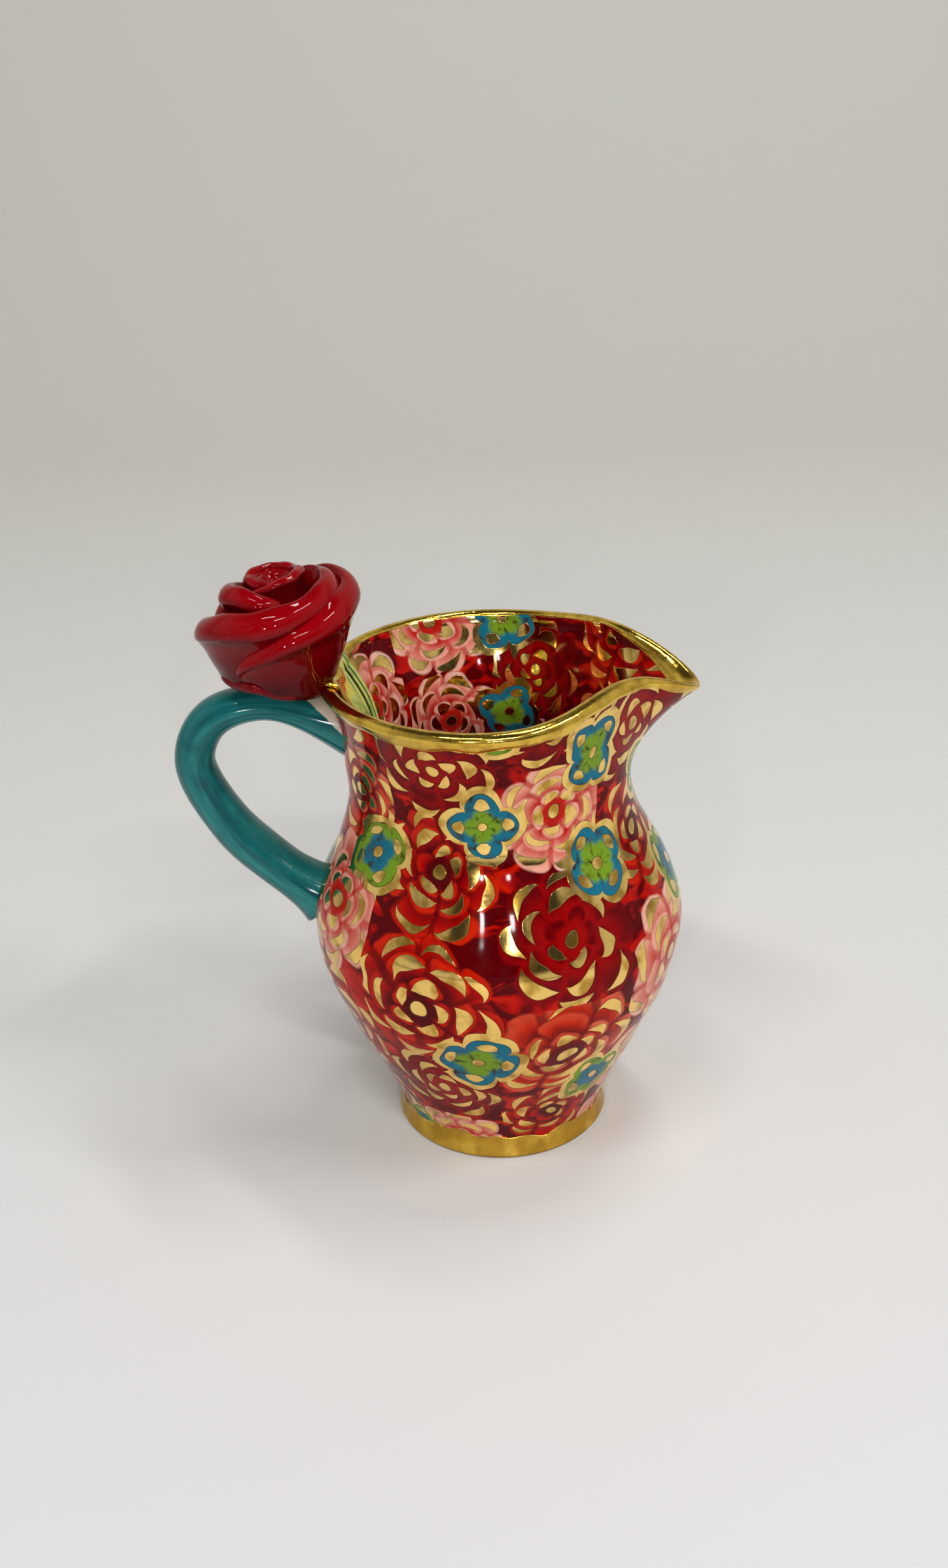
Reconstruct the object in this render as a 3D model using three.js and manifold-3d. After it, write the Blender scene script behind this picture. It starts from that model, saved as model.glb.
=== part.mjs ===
// A small glazed cream jug: a thrown body with a pulled spout, a pulled handle, a rose modelled
// from separate petals on top of the handle, a leaf inside the rim, and gilding on rim and foot.
// Millimetres, +Z up. The origin is the centre of the flat foot, the spout points along +X and
// the handle along -X.
import * as THREE from "three";
import { mergeVertices } from "three/addons/utils/BufferGeometryUtils.js";
import Module from "manifold-3d";

const wasm = await Module();
wasm.setup();

// Gaps
const CLEARANCE = 0.3; // slip joint between two pieces of clay
const COAT_GAP = 0.05; // between the glaze and the gilding on it
const COAT = 0.35; // thickness of the gilding

// Thrown body
const FOOT_RADIUS = 21.9;
const FOOT_BEVEL = 0.8;
const WAIST_RADIUS = 21.4;
const WAIST_HEIGHT = 5.4;
const WAIST_SLOPE = 0.36; // how fast the wall opens above the foot
const BELLY_RADIUS = 37.4;
const BELLY_HEIGHT = 48;
const NECK_RADIUS = 27;
const NECK_HEIGHT = 78;
const RIM_RADIUS = 31.1; // at the crest of the lip
const RIM_HEIGHT = 100;
const RIM_FLARE = 0.52; // slope of the wall just under the lip
const WALL = 3.7;
const LIP = 2.8; // thickness of the wall at the rim
const FLOOR = 5;
const FLOOR_FILLET = 9;
const LEAN = 1; // the mouth stands this far towards the handle

// Pulled spout
const SPOUT_REACH = 9; // how far the tip stands out from the round rim
const SPOUT_SPREAD = 16.5; // half angle of the spout, degrees
const SPOUT_DROP = 4.8; // how far the tip lies under the crest beside it
const SPOUT_DROP_SPREAD = 14;
const PINCH_DEPTH = 2.8; // the sides of the spout are pinched in
const PINCH_ANGLE = 45;
const PINCH_SPREAD = 28;
const SHOULDER_RISE = 3; // and pushed up
const SHOULDER_ANGLE = 33;
const SHOULDER_SPREAD = 30;
const SPOUT_EASE = 1.6; // how late the pull sets in above the neck

// Gilding
const RIM_BAND_OUTSIDE = 1.9; // depth of the band below the lip's round
const RIM_BAND_INSIDE = 0.6;
const FOOT_BAND_LOW = 0.9;
const FOOT_BAND_HIGH = 5.2;

// Handle, with its joints placed from the rim and the belly. The upper points of its midline are
// placed from the joint on the neck and the lower ones from the joint on the belly.
const HANDLE_BELOW_RIM = 11.2;
const HANDLE_ABOVE_BELLY = 3;
const HANDLE_CROWN_OUT = 16;
const HANDLE_CROWN_RISE = 5;
const HANDLE_SHOULDER_OUT = 26;
const HANDLE_SHOULDER_RISE = 1.8;
const HANDLE_REACH = 30.1;
const HANDLE_REACH_DROP = 6.8;
const HANDLE_ELBOW_OUT = 16;
const HANDLE_ELBOW_RISE = 17.2;
const HANDLE_TAIL_OUT = 7.2;
const HANDLE_TAIL_RISE = 7.4;
const HANDLE_WIDTH = 10.6; // across the strap, halfway
const HANDLE_THICKNESS = 8;
const HANDLE_THIN = 0.8; // share of the strap left at the crown
const HANDLE_FULL = 1.1; // and at the tail
const HANDLE_SPREAD_TOP = 1.7; // where it is smoothed onto the neck
const HANDLE_SPREAD_LOW = 1.6; // and onto the belly
const HANDLE_FLARE_TOP = -8; // how suddenly it spreads there
const HANDLE_FLARE_LOW = 9;
const LUTE_DEPTH = 2; // clay smoothed from the handle down onto the outside of the neck
const LUTE_BELOW_RIM = 20.5;
const LUTE_REACH = 11;
const LUTE_SPREAD = 26; // half angle, degrees

// Rose
const ROSE_SEAT = 0.184; // place along the handle's midline
const ROSE_RADIUS = 14; // to the middle of the widest rolled edge
const ROSE_HEIGHT = 25; // to the middle of the bud's edge
const ROSE_PRESS = 1.4; // how far the flower is pressed down onto the handle
const ROSE_BASE_RADIUS = 8.8;
const ROSE_BASE_RISE = 7.4; // height of the base where it is widest
const ROSE_BASE_HEIGHT = 11;
const ROSE_BASE_STEM = 2.2; // radius of the base where it meets the handle
const ROSE_CORE_RADIUS = 4.2; // the roll of clay that the bud is wrapped round
const ROSE_CORE_HEIGHT = 23.1;
const ROSE_CORE_BEVEL = 1;
const BUD_SHEET = 1.9; // thickness of the rolled strip
const BUD_LIP = 2;
const PETAL_SHEET = 1.9;
const PETAL_LIP = 4.4; // thickness of the rolled edge
const INNER_LIP = 3.4;
const FRILL_LIP = 2.2;
const PETAL_TAPER = 0.35; // share of it left at a petal's ends
const PETAL_SWELL = 0.5; // where along the sheet the edge starts to thicken
const OUTER_SWELL = -0.1; // the same on the two long outer petals, which thicken from the foot
const PETAL_CROWN = 0.6; // how much of the edge's round is level

// Leaf inside the rim
const LEAF_LENGTH = 22.8; // down the inner wall, below the lip's round
const LEAF_WIDTH = 19;
const LEAF_THICKNESS = 1.5;
const LEAF_BEND = 110; // how far its root is bent over the lip, degrees
const LEAF_SHOULDER = 0.3; // how far along its outline the leaf starts
const LEAF_TIP = 0.1; // share of the width left at the tip
const LEAF_EDGE = 0.5; // share of the thickness left at the sides

// Facets
const ROUND_STEPS = 56;
const WALL_STEPS = 8;
const FILLET_STEPS = 4;
const LIP_STEPS = 4;
const HANDLE_STEPS = 30;
const HANDLE_SIDES = 14;
const PETAL_STEPS = 8;
const STRIP_TURN = 22; // degrees of a strip to each further step
const SHEET_STEPS = 4;
const DOME_STEPS = 4;
const LEAF_STEPS = 10;
const LEAF_BEND_STEPS = 5;
const LEAF_SIDES = 4;

const { degToRad, lerp, clamp } = THREE.MathUtils;

// A bell-shaped weight, 1 at the middle and falling away over the spread.
const bell = (x, middle, spread) => Math.exp(-(((x - middle) / spread) ** 2));

// A cubic through knots of height, radius and slope.
function cubic(knots, height) {
  const last = knots.length - 2;
  const found = knots.findIndex((knot, i) => i > 0 && height <= knot[0]) - 1;
  const [z0, r0, m0] = knots[found < 0 ? last : found];
  const [z1, r1, m1] = knots[(found < 0 ? last : found) + 1];
  const t = (height - z0) / (z1 - z0);
  const u = 1 - t;
  const bend = (z1 - z0) * t * u * (m0 * u - m1 * t);
  return r0 * u * u * (1 + 2 * t) + r1 * t * t * (3 - 2 * t) + bend;
}

// Outer radius of the body at a height, before the spout is pulled.
const LIP_ROUND = LIP / 2;
const LIP_BASE = RIM_HEIGHT - LIP_ROUND;
const OUTER_KNOTS = [
  [0, FOOT_RADIUS, 0],
  [WAIST_HEIGHT, WAIST_RADIUS, WAIST_SLOPE],
  [BELLY_HEIGHT, BELLY_RADIUS, 0],
  [NECK_HEIGHT, NECK_RADIUS, 0],
  [LIP_BASE, RIM_RADIUS + LIP_ROUND, RIM_FLARE],
];
const outerRadius = (height) => cubic(OUTER_KNOTS, height);

// Inner radius of the body at a height, with the floor turned up into the wall.
function innerRadius(height) {
  const rise = clamp((height - FLOOR) / FLOOR_FILLET, 0, 1);
  const fillet = FLOOR_FILLET * (1 - Math.sqrt(1 - (1 - rise) ** 2));
  const wall = lerp(WALL, LIP, THREE.MathUtils.smoothstep(height, NECK_HEIGHT, LIP_BASE));
  return outerRadius(height) - wall - fillet;
}

// Heights from one level to another, both included.
const levels = (from, to, steps) =>
  Array.from({ length: steps + 1 }, (_, i) => lerp(from, to, i / steps));

// The lip's profile, from the band's edge outside, over the crest, to its edge inside.
function lipProfile(offset) {
  const points = [];
  const outside = LIP_BASE - RIM_BAND_OUTSIDE;
  const inside = LIP_BASE - RIM_BAND_INSIDE;
  points.push(new THREE.Vector2(outerRadius(outside) + offset, outside));
  for (let i = 0; i <= LIP_STEPS; i++) {
    const turn = (Math.PI * i) / LIP_STEPS;
    const round = LIP_ROUND + offset;
    points.push(new THREE.Vector2(RIM_RADIUS + round * Math.cos(turn), LIP_BASE + round * Math.sin(turn)));
  }
  points.push(new THREE.Vector2(innerRadius(inside) - offset, inside));
  return points;
}

// The foot band's profile, from its lower edge to its upper edge.
const footProfile = (offset) =>
  levels(FOOT_BAND_LOW, FOOT_BAND_HIGH, 2).map((z) => new THREE.Vector2(outerRadius(z) + offset, z));

// The clay that is smoothed from the handle onto the neck, on one point. The inside stays round.
function lute(point) {
  const radius = Math.hypot(point.x, point.y);
  if (radius < (outerRadius(point.z) + innerRadius(point.z)) / 2) return point;
  const angle = Math.abs(THREE.MathUtils.radToDeg(Math.atan2(point.y, point.x)));
  const level = bell(point.z, RIM_HEIGHT - LUTE_BELOW_RIM, LUTE_REACH);
  const grown = 1 + (LUTE_DEPTH * bell(angle, 180, LUTE_SPREAD) * level) / radius;
  return point.set(point.x * grown, point.y * grown, point.z);
}

// The pull of the spout on one point of the upper body.
function pullSpout(point) {
  const angle = Math.abs(THREE.MathUtils.radToDeg(Math.atan2(point.y, point.x)));
  const share = clamp((point.z - NECK_HEIGHT) / (RIM_HEIGHT - NECK_HEIGHT), 0, 1) ** SPOUT_EASE;
  const radius = Math.hypot(point.x, point.y);
  if (share === 0 || radius === 0) return point;
  const pinch = PINCH_DEPTH * bell(angle, PINCH_ANGLE, PINCH_SPREAD);
  const out = SPOUT_REACH * bell(angle, 0, SPOUT_SPREAD) - pinch;
  const up = SHOULDER_RISE * bell(angle, SHOULDER_ANGLE, SHOULDER_SPREAD);
  const down = SPOUT_DROP * bell(angle, 0, SPOUT_DROP_SPREAD);
  const grown = (radius + share * out) / radius;
  return point.set(point.x * grown, point.y * grown, point.z + share * (up - down));
}

// The lean of the thrown neck on one point.
function lean(point) {
  point.x -= LEAN * clamp((point.z - BELLY_HEIGHT) / (RIM_HEIGHT - BELLY_HEIGHT), 0, 1) ** 2;
  return point;
}

// Moves every vertex of a geometry by a function.
function reshape(geometry, move) {
  const position = geometry.getAttribute("position");
  const point = new THREE.Vector3();
  for (let i = 0; i < position.count; i++) {
    move(point.fromBufferAttribute(position, i));
    position.setXYZ(i, point.x, point.y, point.z);
  }
  return geometry;
}

// Position alone, with shared vertices merged and the faces turned outwards.
function closed(geometry) {
  geometry.deleteAttribute("normal");
  geometry.deleteAttribute("uv");
  const merged = mergeVertices(geometry, 1e-4);
  const position = merged.getAttribute("position");
  const [a, b, c] = [new THREE.Vector3(), new THREE.Vector3(), new THREE.Vector3()];
  const faces = [];
  let volume = 0;
  for (let i = 0; i < merged.index.count; i += 3) {
    const corners = [0, 1, 2].map((k) => merged.index.getX(i + k));
    if (new Set(corners).size < 3) continue;
    faces.push(corners);
    [a, b, c].forEach((v, k) => v.fromBufferAttribute(position, corners[k]));
    volume += a.dot(b.cross(c));
  }
  merged.setIndex((volume < 0 ? faces.map(([p, q, r]) => [p, r, q]) : faces).flat());
  return merged;
}

// A turned solid, with the spout pulled out of it.
function turned(profile) {
  const geometry = new THREE.LatheGeometry(profile, ROUND_STEPS).rotateX(Math.PI / 2).rotateZ(Math.PI / 2);
  return reshape(closed(geometry), (point) => lean(pullSpout(lute(point))));
}

// A closed skin through rings that have the same number of points, with a fan over each end.
function loft(rings) {
  const sides = rings[0].length;
  const points = rings.flat();
  const middle = (ring) => ring.reduce((sum, p) => sum.add(p), new THREE.Vector3()).divideScalar(sides);
  const [first, last] = [points.length, points.length + 1];
  points.push(middle(rings[0]), middle(rings.at(-1)));
  const faces = [];
  for (let k = 0; k < sides; k++) {
    const next = (k + 1) % sides;
    for (let i = 0; i + 1 < rings.length; i++) {
      const [a, b, c, d] = [i * sides + k, i * sides + next, (i + 1) * sides + next, (i + 1) * sides + k];
      faces.push(a, b, c, a, c, d);
    }
    const end = (rings.length - 1) * sides;
    faces.push(first, next, k, last, end + k, end + next);
  }
  return closed(new THREE.BufferGeometry().setFromPoints(points).setIndex(faces));
}

// Solids for cutting
function solidOf(geometry) {
  return new wasm.Manifold(
    new wasm.Mesh({
      numProp: 3,
      vertProperties: geometry.getAttribute("position").array,
      triVerts: new Uint32Array(geometry.index.array),
    }),
  );
}

function geometryOf(solid) {
  const mesh = solid.getMesh();
  const geometry = new THREE.BufferGeometry();
  geometry.setAttribute("position", new THREE.BufferAttribute(mesh.vertProperties, 3));
  return geometry.setIndex(new THREE.BufferAttribute(mesh.triVerts, 1));
}

// What is left of a geometry after the cuts. Loose offcuts are dropped.
function cut(geometry, cutters) {
  const left = cutters.reduce((solid, cutter) => solid.subtract(solidOf(cutter)), solidOf(geometry));
  const bodies = left.decompose().sort((a, b) => b.volume() - a.volume());
  return geometryOf(bodies[0]);
}

// Body
function bodyGeometry() {
  const profile = [new THREE.Vector2(0, 0), new THREE.Vector2(FOOT_RADIUS - FOOT_BEVEL, 0)];
  profile.push(...footProfile(0));
  const bandTop = LIP_BASE - RIM_BAND_OUTSIDE;
  const wall = [
    ...levels(FOOT_BAND_HIGH, BELLY_HEIGHT, WALL_STEPS).slice(1),
    ...levels(BELLY_HEIGHT, bandTop, WALL_STEPS).slice(1, -1),
  ];
  profile.push(...wall.map((z) => new THREE.Vector2(outerRadius(z), z)));
  profile.push(...lipProfile(0));
  const inside = [
    ...levels(LIP_BASE - RIM_BAND_INSIDE, BELLY_HEIGHT, WALL_STEPS).slice(1),
    ...levels(BELLY_HEIGHT, FLOOR + FLOOR_FILLET, FILLET_STEPS).slice(1),
    ...levels(FLOOR + FLOOR_FILLET, FLOOR, FILLET_STEPS).slice(1),
  ];
  profile.push(...inside.map((z) => new THREE.Vector2(innerRadius(z), z)), new THREE.Vector2(0, FLOOR));
  return turned(profile);
}

// The body grown by a gap, hollow or filled, which keeps other pieces clear of it and its gilding.
function bodyCutter(gap, filled) {
  const heights = levels(FLOOR + FLOOR_FILLET, LIP_BASE, 2 * WALL_STEPS);
  const outside = heights.map((z) => new THREE.Vector2(outerRadius(z) + gap, z));
  const inside = heights.map((z) => new THREE.Vector2(innerRadius(z) - gap, z)).reverse();
  const crest = levels(0, Math.PI, LIP_STEPS)
    .slice(1, -1)
    .map((turn) => {
      const round = LIP_ROUND + gap;
      return new THREE.Vector2(RIM_RADIUS + round * Math.cos(turn), LIP_BASE + round * Math.sin(turn));
    });
  if (filled) {
    const [low, high] = [heights[0], heights.at(-1)];
    return turned([new THREE.Vector2(0, low), ...outside, new THREE.Vector2(0, high)]);
  }
  const profile = [...outside, ...crest, ...inside];
  return turned([...profile, profile[0].clone()]);
}

// Gilding: a coat that lies on the body's own facets
function coatGeometry(profileAt) {
  const profile = [...profileAt(COAT_GAP), ...profileAt(COAT_GAP + COAT).reverse()];
  return turned([...profile, profile[0].clone()]);
}

// Handle
const topJoint = RIM_HEIGHT - HANDLE_BELOW_RIM;
const lowJoint = BELLY_HEIGHT + HANDLE_ABOVE_BELLY;
const neckWall = outerRadius(topJoint);
const bellyWall = outerRadius(lowJoint);
const handlePath = new THREE.CatmullRomCurve3(
  [
    [neckWall - WALL / 2, topJoint],
    [neckWall + HANDLE_CROWN_OUT, topJoint + HANDLE_CROWN_RISE],
    [neckWall + HANDLE_SHOULDER_OUT, topJoint + HANDLE_SHOULDER_RISE],
    [neckWall + HANDLE_REACH, topJoint - HANDLE_REACH_DROP],
    [bellyWall + HANDLE_ELBOW_OUT, lowJoint + HANDLE_ELBOW_RISE],
    [bellyWall + HANDLE_TAIL_OUT, lowJoint + HANDLE_TAIL_RISE],
    [bellyWall - WALL / 2, lowJoint],
  ].map(([out, height]) => lean(new THREE.Vector3(-out, 0, height))),
  false,
  "centripetal",
);

// Share of the full strap left at a place along the midline.
const STRAP_KNOTS = [
  [0, HANDLE_SPREAD_TOP, HANDLE_FLARE_TOP],
  [0.2, HANDLE_THIN, 0],
  [0.45, 1, 0],
  [0.86, HANDLE_FULL, 0],
  [1, HANDLE_SPREAD_LOW, HANDLE_FLARE_LOW],
];
const strapShare = (place) => cubic(STRAP_KNOTS, place);

function handleGeometry(gap) {
  const rings = levels(0, 1, HANDLE_STEPS).map((place) => {
    const centre = handlePath.getPointAt(place);
    const along = handlePath.getTangentAt(place);
    const outward = new THREE.Vector3(-along.z, 0, along.x);
    const depth = (HANDLE_THICKNESS / 2) * strapShare(place) + gap;
    const width = (HANDLE_WIDTH / 2) * Math.sqrt(strapShare(place)) + gap;
    return Array.from({ length: HANDLE_SIDES }, (_, k) => {
      const turn = (2 * Math.PI * k) / HANDLE_SIDES;
      const point = centre.clone().addScaledVector(outward, depth * Math.cos(turn));
      return point.add(new THREE.Vector3(0, width * Math.sin(turn), 0));
    });
  });
  return loft(rings);
}

// Rose: a rolled bud and petals wrapped around a base, in the flower's own frame
const roseFrame = new THREE.Group();
const roseSeat = handlePath.getPointAt(ROSE_SEAT);
const roseRise = (HANDLE_THICKNESS / 2) * strapShare(ROSE_SEAT) - ROSE_PRESS;
roseFrame.position.set(roseSeat.x, 0, roseSeat.z + roseRise);
roseFrame.updateMatrix();

// Each petal is a strip that runs round the flower. Its stations give the angle in degrees, then
// the radius and height of the rolled edge and the radius and height of the sheet's foot, as
// shares of the flower's radius and height.
const STRIPS = {
  rose_bud: {
    sheet: BUD_SHEET,
    lip: BUD_LIP,
    stations: [
      [208, 0.45, 0.84, 0.42, 0.3],
      [256, 0.435, 0.945, 0.41, 0.3],
      [288, 0.425, 0.99, 0.4, 0.3],
      [322, 0.41, 1.015, 0.39, 0.3],
      [355, 0.395, 1.01, 0.39, 0.3],
      [416, 0.385, 0.99, 0.39, 0.3],
      [470, 0.38, 0.98, 0.39, 0.3],
      [525, 0.375, 0.97, 0.39, 0.3],
      [560, 0.37, 0.955, 0.39, 0.3],
    ],
  },
  rose_petal_inner_left: {
    lip: INNER_LIP,
    stations: [
      [120, 0.55, 0.78, 0.46, 0.25],
      [160, 0.6, 0.84, 0.46, 0.25],
      [190, 0.635, 0.885, 0.46, 0.25],
      [225, 0.645, 0.915, 0.46, 0.25],
      [257, 0.63, 0.895, 0.46, 0.25],
      [285, 0.57, 0.85, 0.46, 0.25],
    ],
  },
  rose_petal_front: {
    swell: OUTER_SWELL,
    stations: [
      [118, 0.8, 0.42, 0.64, 0.22],
      [150, 0.9, 0.5, 0.69, 0.22],
      [174, 0.95, 0.57, 0.72, 0.22],
      [198, 0.97, 0.64, 0.74, 0.22],
      [224, 0.98, 0.72, 0.73, 0.22],
      [246, 0.98, 0.775, 0.68, 0.22],
      [268, 0.965, 0.81, 0.61, 0.22],
      [290, 0.925, 0.848, 0.56, 0.24],
      [312, 0.865, 0.888, 0.52, 0.2],
      [338, 0.8, 0.928, 0.5, 0.2],
      [372, 0.745, 0.935, 0.48, 0.2],
      [404, 0.69, 0.92, 0.46, 0.2],
      [436, 0.6, 0.85, 0.44, 0.2],
    ],
  },
  rose_petal_back: {
    stations: [
      [46, 0.8, 0.78, 0.52, 0.18],
      [90, 0.86, 0.76, 0.52, 0.18],
      [140, 0.82, 0.7, 0.52, 0.18],
      [190, 0.74, 0.58, 0.5, 0.18],
    ],
  },
  rose_petal_outer_right: {
    swell: OUTER_SWELL,
    stations: [
      [238, 0.86, 0.4, 0.74, 0.23],
      [264, 0.935, 0.572, 0.77, 0.2],
      [282, 0.97, 0.658, 0.78, 0.17],
      [302, 1, 0.725, 0.78, 0.14],
      [320, 1.01, 0.78, 0.77, 0.14],
      [342, 1.02, 0.828, 0.75, 0.19],
      [364, 1.03, 0.865, 0.73, 0.22],
      [386, 0.99, 0.89, 0.69, 0.22],
      [408, 0.92, 0.87, 0.65, 0.2],
      [440, 0.85, 0.72, 0.62, 0.2],
    ],
  },
  rose_petal_outer_back: {
    stations: [
      [44, 0.92, 0.44, 0.66, 0.2],
      [76, 1, 0.54, 0.66, 0.2],
      [104, 0.97, 0.5, 0.66, 0.2],
      [128, 0.84, 0.4, 0.66, 0.22],
    ],
  },
  rose_petal_low_front: {
    lip: FRILL_LIP,
    stations: [
      [170, 0.73, 0.24, 0.58, 0.2],
      [200, 0.76, 0.25, 0.58, 0.2],
      [228, 0.79, 0.255, 0.58, 0.2],
      [256, 0.81, 0.25, 0.58, 0.2],
      [274, 0.81, 0.21, 0.58, 0.16],
      [296, 0.775, 0.165, 0.56, 0.11],
      [318, 0.71, 0.14, 0.54, 0.09],
    ],
  },
};

// One closed section of a strip, in the half plane of radius and height.
function stripSection(root, lip, half, edge, swell) {
  const along = lip.clone().sub(root).normalize();
  const side = new THREE.Vector2(along.y, -along.x);
  const [inner, outer] = [[], []];
  for (const u of levels(0, 1, SHEET_STEPS)) {
    const middle = root.clone().lerp(lip, u);
    const grown = lerp(half, edge, THREE.MathUtils.smoothstep(u, swell, 1));
    inner.push(middle.clone().addScaledVector(side, -half));
    outer.push(middle.clone().addScaledVector(side, 2 * grown - half));
  }
  const [near, far] = [inner.at(-1), outer.at(-1)];
  const shares = [(1 - PETAL_CROWN) / 2, (1 + PETAL_CROWN) / 2];
  const crown = shares.map((share) => near.clone().lerp(far, share).addScaledVector(along, edge));
  return [...inner, ...crown, ...outer.reverse()];
}

// A petal or the bud, grown all round by a gap where it is used to cut its neighbours.
function stripGeometry({ stations, sheet = PETAL_SHEET, lip = PETAL_LIP, swell = PETAL_SWELL }, gap) {
  const line = (pick) => new THREE.CatmullRomCurve3(stations.map(pick), false, "catmullrom");
  const at = (turn, out, top) => new THREE.Vector3(turn, ROSE_RADIUS * out, ROSE_HEIGHT * top);
  const edgeLine = line(([turn, out, top]) => at(turn, out, top));
  const rootLine = line(([turn, , , root, foot]) => at(turn, root, foot));
  const steps = PETAL_STEPS + Math.round((stations.at(-1)[0] - stations[0][0]) / STRIP_TURN);
  const rings = levels(0, 1, steps).map((s) => {
    const taper = lerp(PETAL_TAPER, 1, Math.sqrt(Math.max(Math.sin(Math.PI * s), 0)));
    const { x: turn, y: out, z: top } = edgeLine.getPoint(s);
    const { y: rootOut, z: rootTop } = rootLine.getPoint(s);
    const half = (sheet / 2) * taper + gap;
    const edge = (lip / 2) * taper + gap;
    const angle = degToRad(turn);
    const tip = new THREE.Vector2(out - edge + half, top);
    const root = new THREE.Vector2(rootOut, rootTop);
    root.addScaledVector(tip.clone().sub(root).normalize(), -gap);
    return stripSection(root, tip, half, edge, swell).map(
      ({ x, y }) => new THREE.Vector3(x * Math.cos(angle), x * Math.sin(angle), y),
    );
  });
  return loft(rings);
}

// The base is a pad of clay that the petals are pressed onto, with the rolled core of the bud.
function roseBaseGeometry(gap) {
  const dome = ROSE_BASE_HEIGHT - ROSE_BASE_RISE + gap;
  const core = ROSE_CORE_RADIUS + gap;
  const coreTop = ROSE_CORE_HEIGHT + gap;
  const profile = [new THREE.Vector2(0, -ROSE_PRESS), new THREE.Vector2(ROSE_BASE_STEM, -ROSE_PRESS)];
  for (const turn of levels(0, Math.PI / 2, DOME_STEPS)) {
    const radius = Math.max((ROSE_BASE_RADIUS + gap) * Math.cos(turn), core);
    profile.push(new THREE.Vector2(radius, ROSE_BASE_RISE + dome * Math.sin(turn)));
  }
  profile.push(
    new THREE.Vector2(core, coreTop - ROSE_CORE_BEVEL),
    new THREE.Vector2(core - ROSE_CORE_BEVEL, coreTop),
    new THREE.Vector2(0, coreTop),
  );
  return closed(new THREE.LatheGeometry(profile, 2 * HANDLE_SIDES).rotateX(Math.PI / 2));
}

// Leaf: a sheet bent over the lip under the rose, and laid down the inner wall
const leafShare = (s) => lerp(LEAF_TIP, 1, Math.sin(Math.PI * lerp(LEAF_SHOULDER, 1, s)));

// Radius and height at a length below the lip's round, or over it where less than 0, off the clay.
function leafSeat(place, over, off) {
  if (place >= 0) return new THREE.Vector2(innerRadius(LIP_BASE - place) - off, LIP_BASE - place);
  const turn = Math.PI + (place / over) * degToRad(LEAF_BEND);
  const round = LIP_ROUND + off;
  return new THREE.Vector2(RIM_RADIUS + round * Math.cos(turn), LIP_BASE + round * Math.sin(turn));
}

function leafGeometry(gap) {
  const seat = COAT_GAP + COAT + CLEARANCE;
  const over = degToRad(LEAF_BEND) * (LIP_ROUND + seat);
  const places = [
    ...levels(-over - 3 * gap, 0, LEAF_BEND_STEPS),
    ...levels(0, LEAF_LENGTH + gap, LEAF_STEPS).slice(1),
  ];
  const across = levels(-1, 1, LEAF_SIDES);
  const rings = places.map((place) => {
    const half = (LEAF_WIDTH / 2) * leafShare(clamp((place + over) / (LEAF_LENGTH + over), 0, 1)) + gap;
    const wall = innerRadius(LIP_BASE - Math.max(place, 0));
    const at = (u, off) => {
      const angle = Math.PI + (u * half) / wall;
      const { x: radius, y: height } = leafSeat(place, over, off);
      return lean(new THREE.Vector3(radius * Math.cos(angle), radius * Math.sin(angle), height));
    };
    const front = across.map((u) => at(u, seat + LEAF_THICKNESS * lerp(1, LEAF_EDGE, u * u) + gap));
    return [...front, ...across.map((u) => at(u, seat - gap)).reverse()];
  });
  return loft(rings);
}

// Materials
const finish = (color, roughness, metalness) =>
  new THREE.MeshStandardMaterial({ color, roughness, metalness });
const paintedGlaze = finish(0xb3262c, 0.12, 0);
const gold = finish(0xc79a3a, 0.22, 1);
const tealGlaze = finish(0x1b6a68, 0.12, 0);
const roseGlaze = finish(0x9a1119, 0.1, 0);
const leafGlaze = finish(0xb4c254, 0.15, 0);

function piece(name, geometry, material, carrier) {
  const mesh = new THREE.Mesh(geometry, material);
  mesh.name = name;
  carrier.add(mesh);
}

// Assembly
const jug = new THREE.Group();
const keepOff = bodyCutter(COAT_GAP + COAT + CLEARANCE, false);
const handle = cut(handleGeometry(0), [bodyCutter(CLEARANCE, true)]);
piece("jug_body", bodyGeometry(), paintedGlaze, jug);
piece("rim_gilding", coatGeometry(lipProfile), gold, jug);
piece("foot_gilding", coatGeometry(footProfile), gold, jug);
piece("handle", handle, tealGlaze, jug);
piece("leaf", leafGeometry(0), leafGlaze, jug);

const toFlower = (geometry) => geometry.clone().applyMatrix4(roseFrame.matrix.clone().invert());
const carriers = [keepOff, handleGeometry(CLEARANCE), leafGeometry(CLEARANCE)].map(toFlower);
piece("rose_base", cut(roseBaseGeometry(0), carriers), roseGlaze, roseFrame);
const laid = [roseBaseGeometry(CLEARANCE)];
for (const [name, strip] of Object.entries(STRIPS)) {
  piece(name, cut(stripGeometry(strip, 0), [...laid, ...carriers]), roseGlaze, roseFrame);
  laid.push(stripGeometry(strip, CLEARANCE));
}
jug.add(roseFrame);

export default jug;
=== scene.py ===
"""Looks of a small cream jug: thrown clay under a painted glaze, gilding, a handle, a leaf and a rose.

Metres, +Z up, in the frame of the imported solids: the origin is the centre of the flat foot, the
spout points along +X and the handle along -X.
"""

import logging
import math
from dataclasses import dataclass
from enum import Enum
from typing import Callable, Optional, Union

import bpy
import numpy as np
from mathutils import Matrix, Vector


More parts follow.
